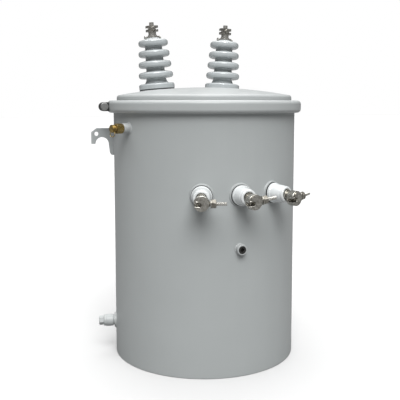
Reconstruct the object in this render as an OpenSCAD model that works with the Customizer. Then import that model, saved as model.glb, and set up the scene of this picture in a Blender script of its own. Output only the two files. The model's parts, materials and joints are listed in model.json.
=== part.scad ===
// Pole mounted single-phase distribution transformer, in millimetres.
// Origin on the tank's axis at its flat base, +Z up, low-voltage side towards -Y, pole side towards +Y.
// Angles round the tank are measured from -Y, positive towards +X.

/* [Tank] */
// Outer diameter of the tank
tank_d = 500; // [430:5:620]
// Height of the tank wall under its top rim
tank_h = 668; // [600:2:900]
// Thickness of the rolled tank wall
tank_wall_t = 3; // [2:0.5:5]
// Thickness of the bottom plate
bottom_t = 5; // [3:1:10]

/* [Cover and band] */
// Rise of the cover's dome from its shoulder to its crown
crown_rise = 21; // [12:1:30]
// Straight height of the cover's collar above the band
collar_h = 15; // [12:1:25]
// Sheet thickness of the cover
cover_t = 3; // [2:0.5:4]
// How far the collar stands in from the tank's outer face
collar_inset = 9; // [6:1:14]
// Radius of the collar's rounded shoulder
shoulder_r = 8; // [4:1:12]
// Thickness of the gasket under the cover
cover_gasket_t = 7; // [4:1:10]
// Height of the clamp band
band_h = 33; // [28:1:40]
// Sheet thickness of the clamp band
band_t = 3; // [2:0.5:4]
// How far the band stands out from the tank's outer face
band_out = 17; // [14:1:24]
// Outer corner radius of the band
band_corner_r = 10; // [5:1:13]
// Angle at which the band's joint sits
band_joint_az = -96; // [-150:0.5:-60]
// Opening between the band's two lugs
band_gap = 24; // [15:1:50]
// Thickness of a band lug
band_lug_t = 5; // [3:1:8]
// Diameter of the band's draw bolt
band_bolt_d = 12; // [8:0.5:14]

/* [High-voltage bushings] */
// Distance of each bushing from the centre plane
hv_x = 101; // [85:1:140]
// Distance of the bushings behind the tank's axis
hv_y = 112; // [60:1:130]
// Outward lean of each bushing
hv_lean_out = 4.25; // [0:0.05:8]
// Backward lean of each bushing
hv_lean_back = 2.2; // [0:0.1:6]
// Flange diameter of the bushing
hv_flange_d = 101.5; // [90:0.5:115]
// Flange height of the bushing
hv_flange_h = 15; // [10:1:20]
// Number of sheds
hv_sheds = 4; // [2:1:5]
// Height of the lowest shed's rim above the flange face
hv_first_shed = 39.4; // [36:0.1:50]
// Distance from one shed to the next
hv_shed_pitch = 30.2; // [28:0.1:40]
// Diameter of the lowest shed
hv_shed_d = 98; // [85:0.5:110]
// Change of diameter from one shed to the next one up
hv_shed_step = 4.7; // [0:0.1:6]
// Rim thickness of a shed
hv_rim_t = 15.5; // [8:0.5:16]
// Diameter of the body under the lowest shed
hv_neck_d = 54.5; // [46:0.5:62]
// Change of the body's diameter from one shed to the next one up
hv_neck_step = 1.9; // [0:0.1:3]
// Diameter of the shank through the cover
hv_shank_d = 57; // [40:1:62]
// Diameter of the metal cap
hv_cap_d = 40; // [34:1:46]
// Diameter of the terminal stud
hv_stud_d = 13; // [8:0.5:14]

/* [Low-voltage bushings] */
// Distance of the three bushings' row below the clamp band
lv_drop = 201; // [170:1:230]
// Angle between neighbouring bushings
lv_pitch_az = 22.5; // [18:0.5:40]
// Distance of the bushing's end face from the tank's outer face
lv_reach = 50; // [42:1:75]
// Diameter of the bushing at its foot
lv_foot_d = 51.5; // [46:0.5:60]
// Diameter of the bushing at its end
lv_end_d = 40; // [34:0.5:46]
// Diameter of the round seat pressed out of the tank
lv_seat_d = 57; // [52:0.5:66]
// Diameter of the shank through the tank wall
lv_shank_d = 36; // [26:1:42]
// Diameter of the conductor stud
lv_stud_d = 17; // [14:0.5:20]
// Height of the eyebolt's axis below the bushing's axis
lv_bolt_drop = 9; // [6:0.5:12]
// Diameter of the eyebolt's shank
lv_bolt_d = 9.5; // [6:0.5:12]
// Distance of the eyebolt's free end from the bushing's axis
lv_bolt_reach = 61; // [50:1:75]
// Turn of each terminal about its own axis
lv_rolls = [0, 9, 8];

/* [Side fittings] */
// Distance of the pressure relief valve below the clamp band
relief_drop = 38.5; // [30:0.5:50]
// Angle of the pressure relief valve
relief_az = -72; // [-100:0.5:-50]
// Height of the drain
drain_z = 88; // [60:1:160]
// Angle of the drain
drain_az = -101.5; // [-140:0.5:-60]
// Height of the side plug
side_z = 331; // [200:1:380]
// Outer diameter of the side coupling
side_d = 26; // [20:0.5:40]
// How far the side coupling stands out
side_out = 14; // [8:1:24]

/* [Lifting lugs] */
// Angle of each lifting lug from the front
lug_az = 109.5; // [95:0.5:130]
// Distance of the lugs' top edge below the clamp band
lug_drop = 43; // [20:1:80]
// How far a lug stands out from the tank
lug_out = 64; // [54:1:80]
// Overall height of a lug
lug_h = 75; // [68:1:90]
// Plate thickness of a lug
lug_t = 8; // [5:1:12]
// Diameter of a lug's small hole
lug_hole_d = 11.6; // [8:0.2:14]
// Radius of a lug's rope notch
lug_notch_r = 18.7; // [14:0.1:19]

/* [Pole hangers] */
// Height of the lower hanger's slot
lower_hanger_z = 235; // [150:1:300]
// Distance between the two hangers' slots
hanger_pitch = 285.75; // [250:0.25:320]
// How far the hangers' faces stand out from the tank
hanger_out = 55; // [40:1:90]
// Width of a hanger
hanger_w = 92; // [70:1:130]
// Height of a hanger
hanger_h = 110; // [80:1:130]
// Plate thickness of a hanger
hanger_t = 6; // [4:0.5:10]
// Width of a hanger's bolt slot
hanger_slot_w = 17.5; // [14:0.5:20]
// Length of a hanger's bolt slot from end to end
hanger_slot_l = 32; // [24:1:50]

/* [Core] */
// Diameter of the core and coils
core_d = 340; // [250:5:380]
// Height of the core and coils
core_h = 410; // [300:5:500]

/* [Hidden] */
$fn = 96;

tank_r = tank_d / 2;
tank_in_r = tank_r - tank_wall_t;

// The clamped rims: tank rim, gasket and cover brim stacked between the band's two lips
band_r = tank_r + band_out;
band_z0 = tank_h;
band_z1 = tank_h + band_h;
rim_out = 10;
rim_z0 = band_z0 + band_t;
rim_h = 9;
gasket_z0 = rim_z0 + rim_h;
brim_z0 = gasket_z0 + cover_gasket_t;
brim_z1 = band_z1 - band_t;
// The rims' outer corners are rounded to lie inside the band's rounded corners
rim_edge_r = min(rim_h - 1, max(1, rim_out + band_corner_r - band_out));
collar_r = tank_r - collar_inset;
shoulder_z = band_z1 + collar_h;
// The dome's sphere passes through the crown and the shoulder's inner end
dome_edge_r = collar_r - shoulder_r;
dome_r = (dome_edge_r * dome_edge_r + crown_rise * crown_rise) / (2 * crown_rise);
crown_z = shoulder_z + crown_rise;

// Band lugs stand square to the draw bolt at both sides of the band's joint
band_clear = 0.5;
band_top_in_r = collar_r + 3;
band_bolt_out = 12;
band_bolt_r = band_r + band_bolt_out;
band_bolt_z = (band_z0 + band_z1) / 2;
band_hex_af = band_bolt_d * 1.6;
band_head_t = 8;
band_nut_t = 10;
bolt_clear = 0.4;
// The lugs' outer faces, where the head and nut bear
bolt_face = band_gap / 2 + band_lug_t;

// High-voltage bushing, measured from its flange's lower face
hv_gasket_t = 3;
hv_seat_out = 3;
hv_seat_sunk = 9;
hv_seat_d = hv_flange_d + 4;
hv_r = sqrt(hv_x * hv_x + hv_y * hv_y);
hv_base_z = crown_z - (dome_r - sqrt(dome_r * dome_r - hv_r * hv_r)) + hv_seat_out + hv_gasket_t;
hv_top_shed = hv_first_shed + (hv_sheds - 1) * hv_shed_pitch;
hv_shoulder_d = hv_cap_d - 2;
hv_top = hv_top_shed + 15;
hv_cap_h = 4;
hv_ear_pin_d = 3.5;
hv_ear_d = 9;
hv_ear_t = 3;
hv_ear_out = 4;
hv_collar_d = 26;
hv_collar_h = 4;
hv_neck_metal_h = 14;
hv_neck_metal_d = 22;
hv_clamp_z = hv_top + hv_cap_h + hv_neck_metal_h;
hv_clamp_w = 35;
hv_clamp_deep = 26;
hv_clamp_h = 16;
hv_groove_x = 11;
hv_groove_d = 8;
hv_groove_mouth = 5;
hv_stud_top = hv_clamp_z + hv_clamp_h + 10;
hv_screw_d = 6;
hv_screw_head_d = 11;
hv_screw_head_t = 6;
hv_shank_depth = 60;
shank_gap = 0.5;

// Low-voltage bushing, measured outwards from the tank's axis
lv_z = tank_h - lv_drop;
lv_azs = [-lv_pitch_az, 0, lv_pitch_az];
lv_seat_out = 3;
lv_gasket_t = 2.5;
lv_foot_r0 = tank_r + lv_seat_out + lv_gasket_t;
lv_end_r = tank_r + lv_reach;
lv_recess_d = 28;
lv_recess_deep = 5;
lv_shank_depth = 50;
lv_eye_r = 19;
lv_eye_t = 20;
lv_eye_side = 1;
lv_eye_drop = 8;
lv_eye_mid = lv_end_r + 21;
lv_stud_end = lv_eye_mid + lv_eye_t / 2 + 3;
lv_bore_d = 12;
lv_bore_deep = 20;
lv_bore_side = 5;
lv_bore_drop = 10;
lv_slot_w = 9;
lv_nut_x = 25;
lv_nut_t = 11;
lv_nut_af = 19;

// Side fittings, measured outwards from the tank's axis
relief_z = tank_h - relief_drop;
relief_coupling_d = 26;
relief_coupling_end = tank_r + 19;
relief_hex_af = 22.5;
relief_hex_end = relief_coupling_end + 21;
relief_thread_d = 17;
relief_neck_t = 3;
relief_end_d = 20;
relief_end = relief_hex_end + 12;
relief_ring_z = relief_end - 4;
relief_ring_drop = 7.5;
ring_turn = 35;
ring_r = 6.5;
ring_wire_d = 2;
ring_clear = 0.5;
drain_coupling_d = 40;
drain_coupling_end = tank_r + 5;
drain_thread_d = 26;
drain_body_d = 33;
drain_body_end = drain_coupling_end + 30;
drain_head_af = 22;
drain_head_end = drain_body_end + 13;
side_plug_d = side_d - 6;
side_end = tank_r + side_out;
socket_w = 9.5;
thread_depth = 12;

lug_top_z = tank_h - lug_drop;
lug_tip_w = 11;

hanger_face_y = tank_r + hanger_out;
upper_hanger_z = lower_hanger_z + hanger_pitch;

// ---- placing helpers ----

// Local Z points outwards from the tank's axis, local Y points up
module outward(az, z) {
    rotate([0, 0, az]) translate([0, 0, z]) rotate([90, 0, 0]) children();
}

// Origin at the middle of a high-voltage flange's lower face; side is -1 or 1
module hv_place(side) {
    translate([side * hv_x, hv_y, hv_base_z])
        rotate([-hv_lean_back, side * hv_lean_out, 0]) children();
}

// Local frame of a terminal: Z outwards, X along its eyebolt
module lv_terminal_place(i) {
    outward(lv_azs[i], lv_z) rotate([0, 0, lv_rolls[i]]) children();
}

// Hexagonal prism by the distance across its flats
module hex(af, h) {
    cylinder(h = h, d = af / cos(30), $fn = 6);
}

module tube(outer_d, inner_d, h) {
    difference() {
        cylinder(h = h, d = outer_d);
        translate([0, 0, -1]) cylinder(h = h + 2, d = inner_d);
    }
}

// ---- tank ----

// A rim of height h with its top or its bottom outer corner rounded
module rim_ring(h, top) {
    r = tank_r + rim_out;
    e = rim_edge_r;
    rotate_extrude($fn = 180) {
        square([r - e, h]);
        translate([0, top ? 0 : e]) square([r, h - e]);
        translate([r - e, top ? h - e : e]) circle(r = e);
    }
}

module tank_wall() {
    color("#a9afb0")
    difference() {
        union() {
            cylinder(h = gasket_z0, r = tank_r, $fn = 180);
            translate([0, 0, rim_z0]) rim_ring(rim_h, false);
            for (az = lv_azs)
                outward(az, lv_z) translate([0, 0, tank_in_r])
                    cylinder(h = tank_wall_t + lv_seat_out, d = lv_seat_d);
        }
        translate([0, 0, -1]) cylinder(h = gasket_z0 + 2, r = tank_in_r, $fn = 180);
        for (az = lv_azs)
            outward(az, lv_z) translate([0, 0, tank_in_r - 10])
                cylinder(h = 30, d = lv_shank_d + 2 * shank_gap);
        outward(relief_az, relief_z) translate([0, 0, tank_in_r - 10])
            cylinder(h = 30, d = relief_coupling_d);
        outward(drain_az, drain_z) translate([0, 0, tank_in_r - 10])
            cylinder(h = 30, d = drain_coupling_d);
        outward(0, side_z) translate([0, 0, tank_in_r - 10]) cylinder(h = 30, d = side_d);
    }
}

module tank_bottom() {
    color("#a9afb0") cylinder(h = bottom_t, r = tank_in_r, $fn = 180);
}

module core_and_coils() {
    color("#7a6a55") translate([0, 0, bottom_t]) cylinder(h = core_h, d = core_d);
}

// ---- cover and band ----

// Half profile of the cover's outer form, with its shoulder rounded, shrunk inwards by t
module cover_form(t) {
    intersection() {
        translate([0, crown_z - dome_r]) circle(r = dome_r - t, $fn = 1440);
        union() {
            translate([0, brim_z0 - t]) square([collar_r - t, shoulder_z - shoulder_r - brim_z0 + t]);
            translate([0, shoulder_z - shoulder_r - 1])
                square([collar_r - shoulder_r, shoulder_r + crown_rise + 1]);
            translate([collar_r - shoulder_r, shoulder_z - shoulder_r]) circle(r = shoulder_r - t);
        }
    }
}

module cover() {
    color("#b4b9ba")
    difference() {
        union() {
            rotate_extrude($fn = 180) cover_form(0);
            translate([0, 0, brim_z0]) rim_ring(brim_z1 - brim_z0, true);
            for (side = [-1, 1])
                hv_place(side) translate([0, 0, -hv_gasket_t - hv_seat_out - hv_seat_sunk])
                    cylinder(h = hv_seat_out + hv_seat_sunk, d = hv_seat_d);
        }
        difference() {
            rotate_extrude($fn = 180) cover_form(cover_t);
            for (side = [-1, 1])
                hv_place(side) translate([0, 0, -hv_gasket_t - hv_seat_out - hv_seat_sunk])
                    cylinder(h = hv_seat_out + hv_seat_sunk, d = hv_seat_d);
        }
        for (side = [-1, 1])
            hv_place(side) translate([0, 0, -hv_shank_depth])
                cylinder(h = hv_shank_depth + 10, d = hv_shank_d + 2 * shank_gap);
    }
}

module cover_gasket() {
    color("#2c2c2c") translate([0, 0, gasket_z0])
        difference() {
            cylinder(h = cover_gasket_t, r = tank_r + rim_out - 1, $fn = 180);
            translate([0, 0, -1]) cylinder(h = cover_gasket_t + 2, r = tank_in_r, $fn = 180);
        }
}

// Half profile of a rounded bar's outer end, shrunk by t; x0 is its inner end
module band_form(t, x0) {
    x1 = band_r - t;
    c = band_corner_r - t;
    z0 = band_z0 + t;
    z1 = band_z1 - t;
    union() {
        translate([x0, z0]) square([x1 - c - x0, z1 - z0]);
        translate([x0, z0 + c]) square([x1 - x0, z1 - z0 - 2 * c]);
        for (z = [z0 + c, z1 - c]) translate([x1 - c, z]) circle(r = c);
    }
}

// Local Z runs along the draw bolt, towards the front; the origin is midway between the lugs
module band_bolt_line() {
    rotate([0, 0, band_joint_az]) translate([0, -band_bolt_r, band_bolt_z]) rotate([0, 90, 0])
        children();
}

module cover_band() {
    color("#b4b9ba")
    difference() {
        union() {
            difference() {
                rotate_extrude($fn = 180) difference() {
                    band_form(0, band_top_in_r);
                    band_form(band_t, band_top_in_r - 1);
                    translate([0, band_z0 - 1]) square([tank_r + band_clear, band_h / 2]);
                }
                rotate([0, 0, band_joint_az]) translate([-band_gap / 2, -band_r - 1, band_z0 - 1])
                    cube([band_gap, 60, band_h + 2]);
            }
            for (x = [band_gap / 2, -bolt_face]) band_bolt_line() translate([0, 0, x]) {
                cylinder(h = band_lug_t, r = band_bolt_out);
                translate([-band_bolt_out, 0, 0])
                    cube([2 * band_bolt_out, band_bolt_out + band_t, band_lug_t]);
            }
        }
        band_bolt_line() translate([0, 0, -60]) cylinder(h = 120, d = band_bolt_d + 2 * bolt_clear);
    }
}

module band_bolt() {
    color("#8b8b86") band_bolt_line() {
        translate([0, 0, -bolt_face - band_nut_t - 6])
            cylinder(h = 2 * bolt_face + band_nut_t + 6, d = band_bolt_d);
        translate([0, 0, bolt_face]) hex(band_hex_af, band_head_t);
    }
}

module band_nut() {
    color("#8b8b86") band_bolt_line() translate([0, 0, -bolt_face - band_nut_t])
        difference() {
            hex(band_hex_af, band_nut_t);
            translate([0, 0, -1]) cylinder(h = band_nut_t + 2, d = band_bolt_d);
        }
}

// ---- high-voltage bushings ----

function hv_neck_r(i) = (hv_neck_d - i * hv_neck_step) / 2;
function hv_shed_r(i) = (hv_shed_d - i * hv_shed_step) / 2;
function hv_shed_z(i) = hv_first_shed + i * hv_shed_pitch;

// Disc's half profile with its upper outer corner rounded by c
module rounded_disc(r, h, c) {
    union() {
        square([r - c, h]);
        square([r, h - c]);
        translate([r - c, h - c]) circle(r = c);
    }
}

module hv_profile() {
    rim = hv_rim_t / 2;
    union() {
        translate([0, -hv_shank_depth]) square([hv_shank_d / 2, hv_shank_depth + 1]);
        rounded_disc(hv_flange_d / 2, hv_flange_h, 4);
        polygon([[0, hv_flange_h - 1], [hv_neck_r(0) + 9, hv_flange_h - 1],
            [hv_neck_r(0) + 9, hv_flange_h], [hv_neck_r(0), hv_flange_h + 7], [0, hv_flange_h + 7]]);
        square([hv_neck_r(0), hv_first_shed]);
        for (i = [0 : hv_sheds - 1]) {
            z = hv_shed_z(i);
            r = hv_shed_r(i);
            translate([0, z - rim]) square([hv_neck_r(i + 1), i < hv_sheds - 1 ? hv_shed_pitch : rim + 6]);
            polygon([[0, z - rim - 3], [hv_neck_r(i), z - rim - 3], [r - rim, z - rim],
                [r - rim, z + rim], [hv_neck_r(i + 1), z + rim + 4], [0, z + rim + 4]]);
            translate([r - rim, z]) circle(r = rim);
        }
        translate([0, hv_top_shed]) rounded_disc(hv_shoulder_d / 2, hv_top - hv_top_shed, 4);
    }
}

module hv_bushing(side) {
    color("#c3cbcd") hv_place(side) rotate_extrude() hv_profile();
}

module hv_gasket(side) {
    color("#2c2c2c") hv_place(side) translate([0, 0, -hv_gasket_t])
        tube(hv_flange_d - 2, hv_shank_d + 2 * shank_gap, hv_gasket_t);
}

module hv_cap(side) {
    color("#b3afa3") hv_place(side) translate([0, 0, hv_top]) {
        cylinder(h = hv_cap_h, d = hv_cap_d);
        translate([0, 0, hv_cap_h / 2]) rotate([0, 90, 0]) {
            cylinder(h = hv_cap_d + 2 * hv_ear_out, d = hv_ear_pin_d, center = true);
            for (z = [-1, 1]) translate([0, 0, z * (hv_cap_d / 2 + hv_ear_out - hv_ear_t / 2)])
                cylinder(h = hv_ear_t, d = hv_ear_d, center = true);
        }
        cylinder(h = hv_cap_h + hv_collar_h, d = hv_collar_d);
        cylinder(h = hv_cap_h + hv_neck_metal_h, d = hv_neck_metal_d);
        cylinder(h = hv_stud_top - hv_top, d = hv_stud_d);
    }
}

// Two side grooves take the line conductor, one on each side of the stud
module hv_clamp(side) {
    color("#a8a293") hv_place(side) translate([0, 0, hv_clamp_z])
        difference() {
            intersection() {
                translate([-hv_clamp_w / 2, -hv_clamp_deep / 2, 0])
                    cube([hv_clamp_w, hv_clamp_deep, hv_clamp_h]);
                cylinder(h = hv_clamp_h, d = hv_clamp_w + 1);
            }
            translate([0, 0, -1]) cylinder(h = hv_clamp_h + 2, d = hv_stud_d);
            translate([0, 0, hv_clamp_h / 2]) rotate([90, 0, 0])
                cylinder(h = hv_clamp_deep, d = hv_screw_d);
            for (x = [-1, 1]) {
                translate([x * hv_groove_x, 0, hv_clamp_h / 2]) rotate([90, 0, 0])
                    cylinder(h = hv_clamp_deep + 2, d = hv_groove_d, center = true);
                translate([x * (hv_groove_x + hv_clamp_w / 2), 0, hv_clamp_h / 2])
                    cube([hv_clamp_w, hv_clamp_deep + 2, hv_groove_mouth], center = true);
            }
        }
}

// Front screw that holds the clamp on its stud
module hv_screw(side) {
    color("#8f8a7c") hv_place(side) translate([0, 0, hv_clamp_z + hv_clamp_h / 2]) rotate([90, 0, 0]) {
        translate([0, 0, hv_stud_d / 2]) cylinder(h = (hv_clamp_deep - hv_stud_d) / 2, d = hv_screw_d);
        translate([0, 0, hv_clamp_deep / 2]) cylinder(h = hv_screw_head_t, d = hv_screw_head_d);
    }
}

// ---- low-voltage bushings ----

module lv_profile() {
    foot = lv_foot_d / 2;
    end = lv_end_d / 2;
    lip = 3;
    difference() {
        union() {
            translate([0, lv_foot_r0 - lv_shank_depth]) square([lv_shank_d / 2, lv_shank_depth + 1]);
            polygon([[0, lv_foot_r0], [foot, lv_foot_r0], [foot, lv_foot_r0 + 5],
                [end, lv_end_r - lip], [0, lv_end_r - lip]]);
            translate([0, lv_end_r - lip - 1]) square([end - lip, lip + 1]);
            translate([end - lip, lv_end_r - lip]) circle(r = lip);
        }
        translate([0, lv_end_r - lv_recess_deep]) square([lv_recess_d / 2, lv_recess_deep + 1]);
    }
}

module lv_bushing(i) {
    color("#eef0ee") outward(lv_azs[i], lv_z) rotate_extrude() lv_profile();
}

module lv_gasket(i) {
    color("#3a3a3a") outward(lv_azs[i], lv_z) translate([0, 0, tank_r + lv_seat_out])
        tube(lv_foot_d + 2, lv_shank_d + 2 * shank_gap, lv_gasket_t);
}

// Round way for the conductor, open to the side, cut into the stud and its eye together
module lv_wire_way() {
    translate([-lv_bore_side, -lv_bore_drop, lv_stud_end - lv_bore_deep]) {
        cylinder(h = lv_bore_deep + 1, d = lv_bore_d);
        translate([-2 * lv_eye_r, -lv_slot_w / 2, 0]) cube([2 * lv_eye_r, lv_slot_w, lv_bore_deep + 1]);
    }
}

module lv_stud(i) {
    color("#a39c8b") lv_terminal_place(i)
        difference() {
            union() {
                translate([0, 0, lv_end_r - lv_recess_deep])
                    cylinder(h = lv_recess_deep + 4, d = lv_recess_d - 3);
                translate([0, 0, lv_end_r]) cylinder(h = lv_stud_end - lv_end_r, d = lv_stud_d);
            }
            lv_wire_way();
        }
}

module lv_eyebolt(i) {
    color("#a39c8b") lv_terminal_place(i)
        difference() {
            translate([0, 0, lv_eye_mid]) {
                translate([lv_eye_side, -lv_eye_drop, -lv_eye_t / 2]) cylinder(h = lv_eye_t, r = lv_eye_r);
                translate([0, -lv_bolt_drop, 0]) rotate([0, 90, 0])
                    cylinder(h = lv_bolt_reach, d = lv_bolt_d);
            }
            translate([0, 0, lv_end_r]) cylinder(h = 2 * lv_reach, d = lv_stud_d);
            lv_wire_way();
        }
}

module lv_nut(i) {
    color("#8f8a7c") lv_terminal_place(i)
        translate([lv_nut_x, -lv_bolt_drop, lv_eye_mid]) rotate([0, 90, 0])
            difference() {
                hex(lv_nut_af, lv_nut_t);
                translate([0, 0, -1]) cylinder(h = lv_nut_t + 2, d = lv_bolt_d);
            }
}

// ---- side fittings ----

// Short round coupling let into the tank wall, from its inner face out to r1, bored through
module coupling(outer_d, inner_d, r1) {
    translate([0, 0, tank_in_r - 4]) tube(outer_d, inner_d, r1 - tank_in_r + 4);
}

module relief_coupling() {
    color("#b4b9ba") outward(relief_az, relief_z)
        coupling(relief_coupling_d, relief_thread_d, relief_coupling_end);
}

module relief_valve() {
    color("#b49a5c") outward(relief_az, relief_z)
        difference() {
            union() {
                translate([0, 0, relief_coupling_end - thread_depth])
                    cylinder(h = thread_depth + 1, d = relief_thread_d);
                translate([0, 0, relief_coupling_end]) hex(relief_hex_af, relief_hex_end - relief_coupling_end);
                translate([0, 0, relief_hex_end - 1]) cylinder(h = relief_neck_t + 1, d = relief_end_d - 5);
                translate([0, 0, relief_hex_end + relief_neck_t])
                    cylinder(h = relief_end - relief_hex_end - relief_neck_t, d = relief_end_d);
            }
            ring_form(ring_wire_d + 2 * ring_clear);
        }
}

// Local frame of the pull ring, with the ring's plane square to Z and its top at the origin
module relief_ring_place() {
    translate([0, -relief_ring_drop, relief_ring_z]) rotate([0, ring_turn, 0]) children();
}

// The pull ring's form with wire of diameter d, drawn wider for its hole through the valve's edge
module ring_form(d) {
    relief_ring_place() translate([0, -ring_r, 0])
        rotate_extrude() translate([ring_r, 0]) circle(d = d);
}

module relief_ring() {
    color("#b49a5c") outward(relief_az, relief_z) ring_form(ring_wire_d);
}

module drain_coupling() {
    color("#b4b9ba") outward(drain_az, drain_z)
        coupling(drain_coupling_d, drain_thread_d, drain_coupling_end);
}

module drain_valve() {
    color("#a9afb0") outward(drain_az, drain_z) {
        translate([0, 0, drain_coupling_end - thread_depth])
            cylinder(h = thread_depth + 1, d = drain_thread_d);
        translate([0, 0, drain_coupling_end])
            cylinder(h = drain_body_end - drain_coupling_end, d = drain_body_d);
    }
}

module drain_plug() {
    color("#8b8b86") outward(drain_az, drain_z) translate([0, 0, drain_body_end])
        hex(drain_head_af, drain_head_end - drain_body_end);
}

module side_coupling() {
    color("#b4b9ba") outward(0, side_z) coupling(side_d, side_plug_d, side_end);
}

module side_plug() {
    color("#4a4a48") outward(0, side_z)
        difference() {
            translate([0, 0, side_end - thread_depth]) cylinder(h = thread_depth, d = side_plug_d);
            translate([0, 0, side_end]) rotate([0, 0, 45]) cube([socket_w, socket_w, 16], center = true);
        }
}

// ---- lifting lugs ----

// Outline in local X outwards from the tank's axis and Y down from the lug's top edge
module lug_outline() {
    out = tank_r + lug_out;
    notch_x = out - lug_tip_w - lug_notch_r;
    tip_y = -lug_h + 31;
    difference() {
        polygon([[tank_r - 2, 0], [out - 15, 0], [out, -11], [out, tip_y], [notch_x, tip_y],
            [notch_x - lug_notch_r, tip_y], [notch_x - lug_notch_r - 3, 6 - lug_h],
            [notch_x - lug_notch_r - 8, -lug_h], [tank_r - 2, -lug_h]]);
        translate([notch_x, tip_y]) circle(r = lug_notch_r);
        translate([out - 14, -16]) circle(d = lug_hole_d);
    }
}

module lifting_lug(side) {
    color("#b4b9ba")
    difference() {
        rotate([0, 0, side * lug_az - 90]) translate([0, 0, lug_top_z]) rotate([90, 0, 0])
            translate([0, 0, -lug_t / 2]) linear_extrude(lug_t) lug_outline();
        cylinder(h = gasket_z0, r = tank_r, $fn = 180);
    }
}

// ---- pole hangers ----

module hanger(z) {
    color("#a9afb0")
    difference() {
        translate([-hanger_w / 2, 0, z - hanger_h / 2]) cube([hanger_w, hanger_face_y, hanger_h]);
        translate([-hanger_w / 2 + hanger_t, 0, z - hanger_h / 2 - 1])
            cube([hanger_w - 2 * hanger_t, hanger_face_y - hanger_t, hanger_h + 2]);
        cylinder(h = gasket_z0, r = tank_r, $fn = 180);
        for (dz = [-1, 1])
            translate([0, hanger_face_y, z + dz * (hanger_slot_l - hanger_slot_w) / 2]) rotate([90, 0, 0])
                cylinder(h = 4 * hanger_t, d = hanger_slot_w, center = true);
        translate([-hanger_slot_w / 2, hanger_face_y - 2 * hanger_t, z - (hanger_slot_l - hanger_slot_w) / 2])
            cube([hanger_slot_w, 4 * hanger_t, hanger_slot_l - hanger_slot_w]);
    }
}

module upper_hanger() { hanger(upper_hanger_z); }

module lower_hanger() { hanger(lower_hanger_z); }

tank_wall();
tank_bottom();
core_and_coils();
cover();
cover_gasket();
cover_band();
band_bolt();
band_nut();
hv_bushing(-1);  // hv_bushing_left
hv_bushing(1);  // hv_bushing_right
hv_gasket(-1);  // hv_gasket_left
hv_gasket(1);  // hv_gasket_right
hv_cap(-1);  // hv_cap_left
hv_cap(1);  // hv_cap_right
hv_clamp(-1);  // hv_clamp_left
hv_clamp(1);  // hv_clamp_right
hv_screw(-1);  // hv_screw_left
hv_screw(1);  // hv_screw_right
lv_bushing(0);  // lv_bushing_1
lv_bushing(1);  // lv_bushing_2
lv_bushing(2);  // lv_bushing_3
lv_gasket(0);  // lv_gasket_1
lv_gasket(1);  // lv_gasket_2
lv_gasket(2);  // lv_gasket_3
lv_stud(0);  // lv_stud_1
lv_stud(1);  // lv_stud_2
lv_stud(2);  // lv_stud_3
lv_eyebolt(0);  // lv_eyebolt_1
lv_eyebolt(1);  // lv_eyebolt_2
lv_eyebolt(2);  // lv_eyebolt_3
lv_nut(0);  // lv_nut_1
lv_nut(1);  // lv_nut_2
lv_nut(2);  // lv_nut_3
relief_coupling();
relief_valve();
relief_ring();
drain_coupling();
drain_valve();
drain_plug();
side_coupling();
side_plug();
lifting_lug(-1);  // lifting_lug_left
lifting_lug(1);  // lifting_lug_right
upper_hanger();
lower_hanger();
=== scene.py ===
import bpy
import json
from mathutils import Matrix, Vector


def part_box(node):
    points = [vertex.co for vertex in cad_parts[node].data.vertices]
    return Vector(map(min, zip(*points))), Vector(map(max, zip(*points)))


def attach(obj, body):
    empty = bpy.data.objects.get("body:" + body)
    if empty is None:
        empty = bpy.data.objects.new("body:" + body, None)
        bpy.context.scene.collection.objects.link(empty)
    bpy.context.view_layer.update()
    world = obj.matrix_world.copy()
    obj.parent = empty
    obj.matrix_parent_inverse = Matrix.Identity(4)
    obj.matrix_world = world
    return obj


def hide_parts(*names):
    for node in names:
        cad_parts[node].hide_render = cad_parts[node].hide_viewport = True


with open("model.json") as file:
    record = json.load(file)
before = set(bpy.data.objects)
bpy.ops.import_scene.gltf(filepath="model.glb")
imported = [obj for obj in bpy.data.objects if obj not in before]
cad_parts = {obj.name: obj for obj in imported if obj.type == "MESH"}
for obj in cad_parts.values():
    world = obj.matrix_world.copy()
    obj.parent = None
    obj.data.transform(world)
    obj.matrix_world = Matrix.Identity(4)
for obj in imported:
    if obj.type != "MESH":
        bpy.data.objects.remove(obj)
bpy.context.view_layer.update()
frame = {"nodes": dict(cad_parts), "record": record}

import json
import math
import bmesh
import bpy
import numpy as np

scene = bpy.context.scene
nodes = frame["nodes"]
record = frame["record"]
mm = 0.001

# camera, floor and light

cameraView = {"azimuth": -21.3, "distance": 1.8987, "height": 0.692, "pitch": 5.994,
              "aim": 0.334, "sensor": 36, "focal": 61.03, "shiftY": -0.0625, "near": 0.01}

studio = {"floorSize": 60, "paper": 0.595, "bounce": 0.2, "paperRoughness": 0.9,
          "backdrop": 1.0, "fill": 0.12,
          "lamps": {"key": {"power": 2.4, "angle": 36, "elevation": 45, "azimuth": -14},
                    "overhead": {"power": 3.35, "angle": 80, "elevation": 84, "azimuth": -20},
                    "rear": {"power": 0.75, "angle": 46, "elevation": 54, "azimuth": 159}}}


def setCamera(settings):
    # on a circle round the axis, aimed a little past the axis and tipped down by the pitch
    data = bpy.data.cameras.new("camera")
    data.sensor_width = settings["sensor"]
    data.lens = settings["focal"]
    data.shift_y = settings["shiftY"]
    data.clip_start = settings["near"]
    cameraObject = bpy.data.objects.new("camera", data)
    scene.collection.objects.link(cameraObject)
    turn = math.radians(settings["azimuth"])
    cameraObject.location = (math.sin(turn) * settings["distance"],
                             -math.cos(turn) * settings["distance"], settings["height"])
    cameraObject.rotation_euler = (math.radians(90 - settings["pitch"]), 0,
                                   math.radians(settings["azimuth"] + settings["aim"]))
    scene.camera = cameraObject


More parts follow.
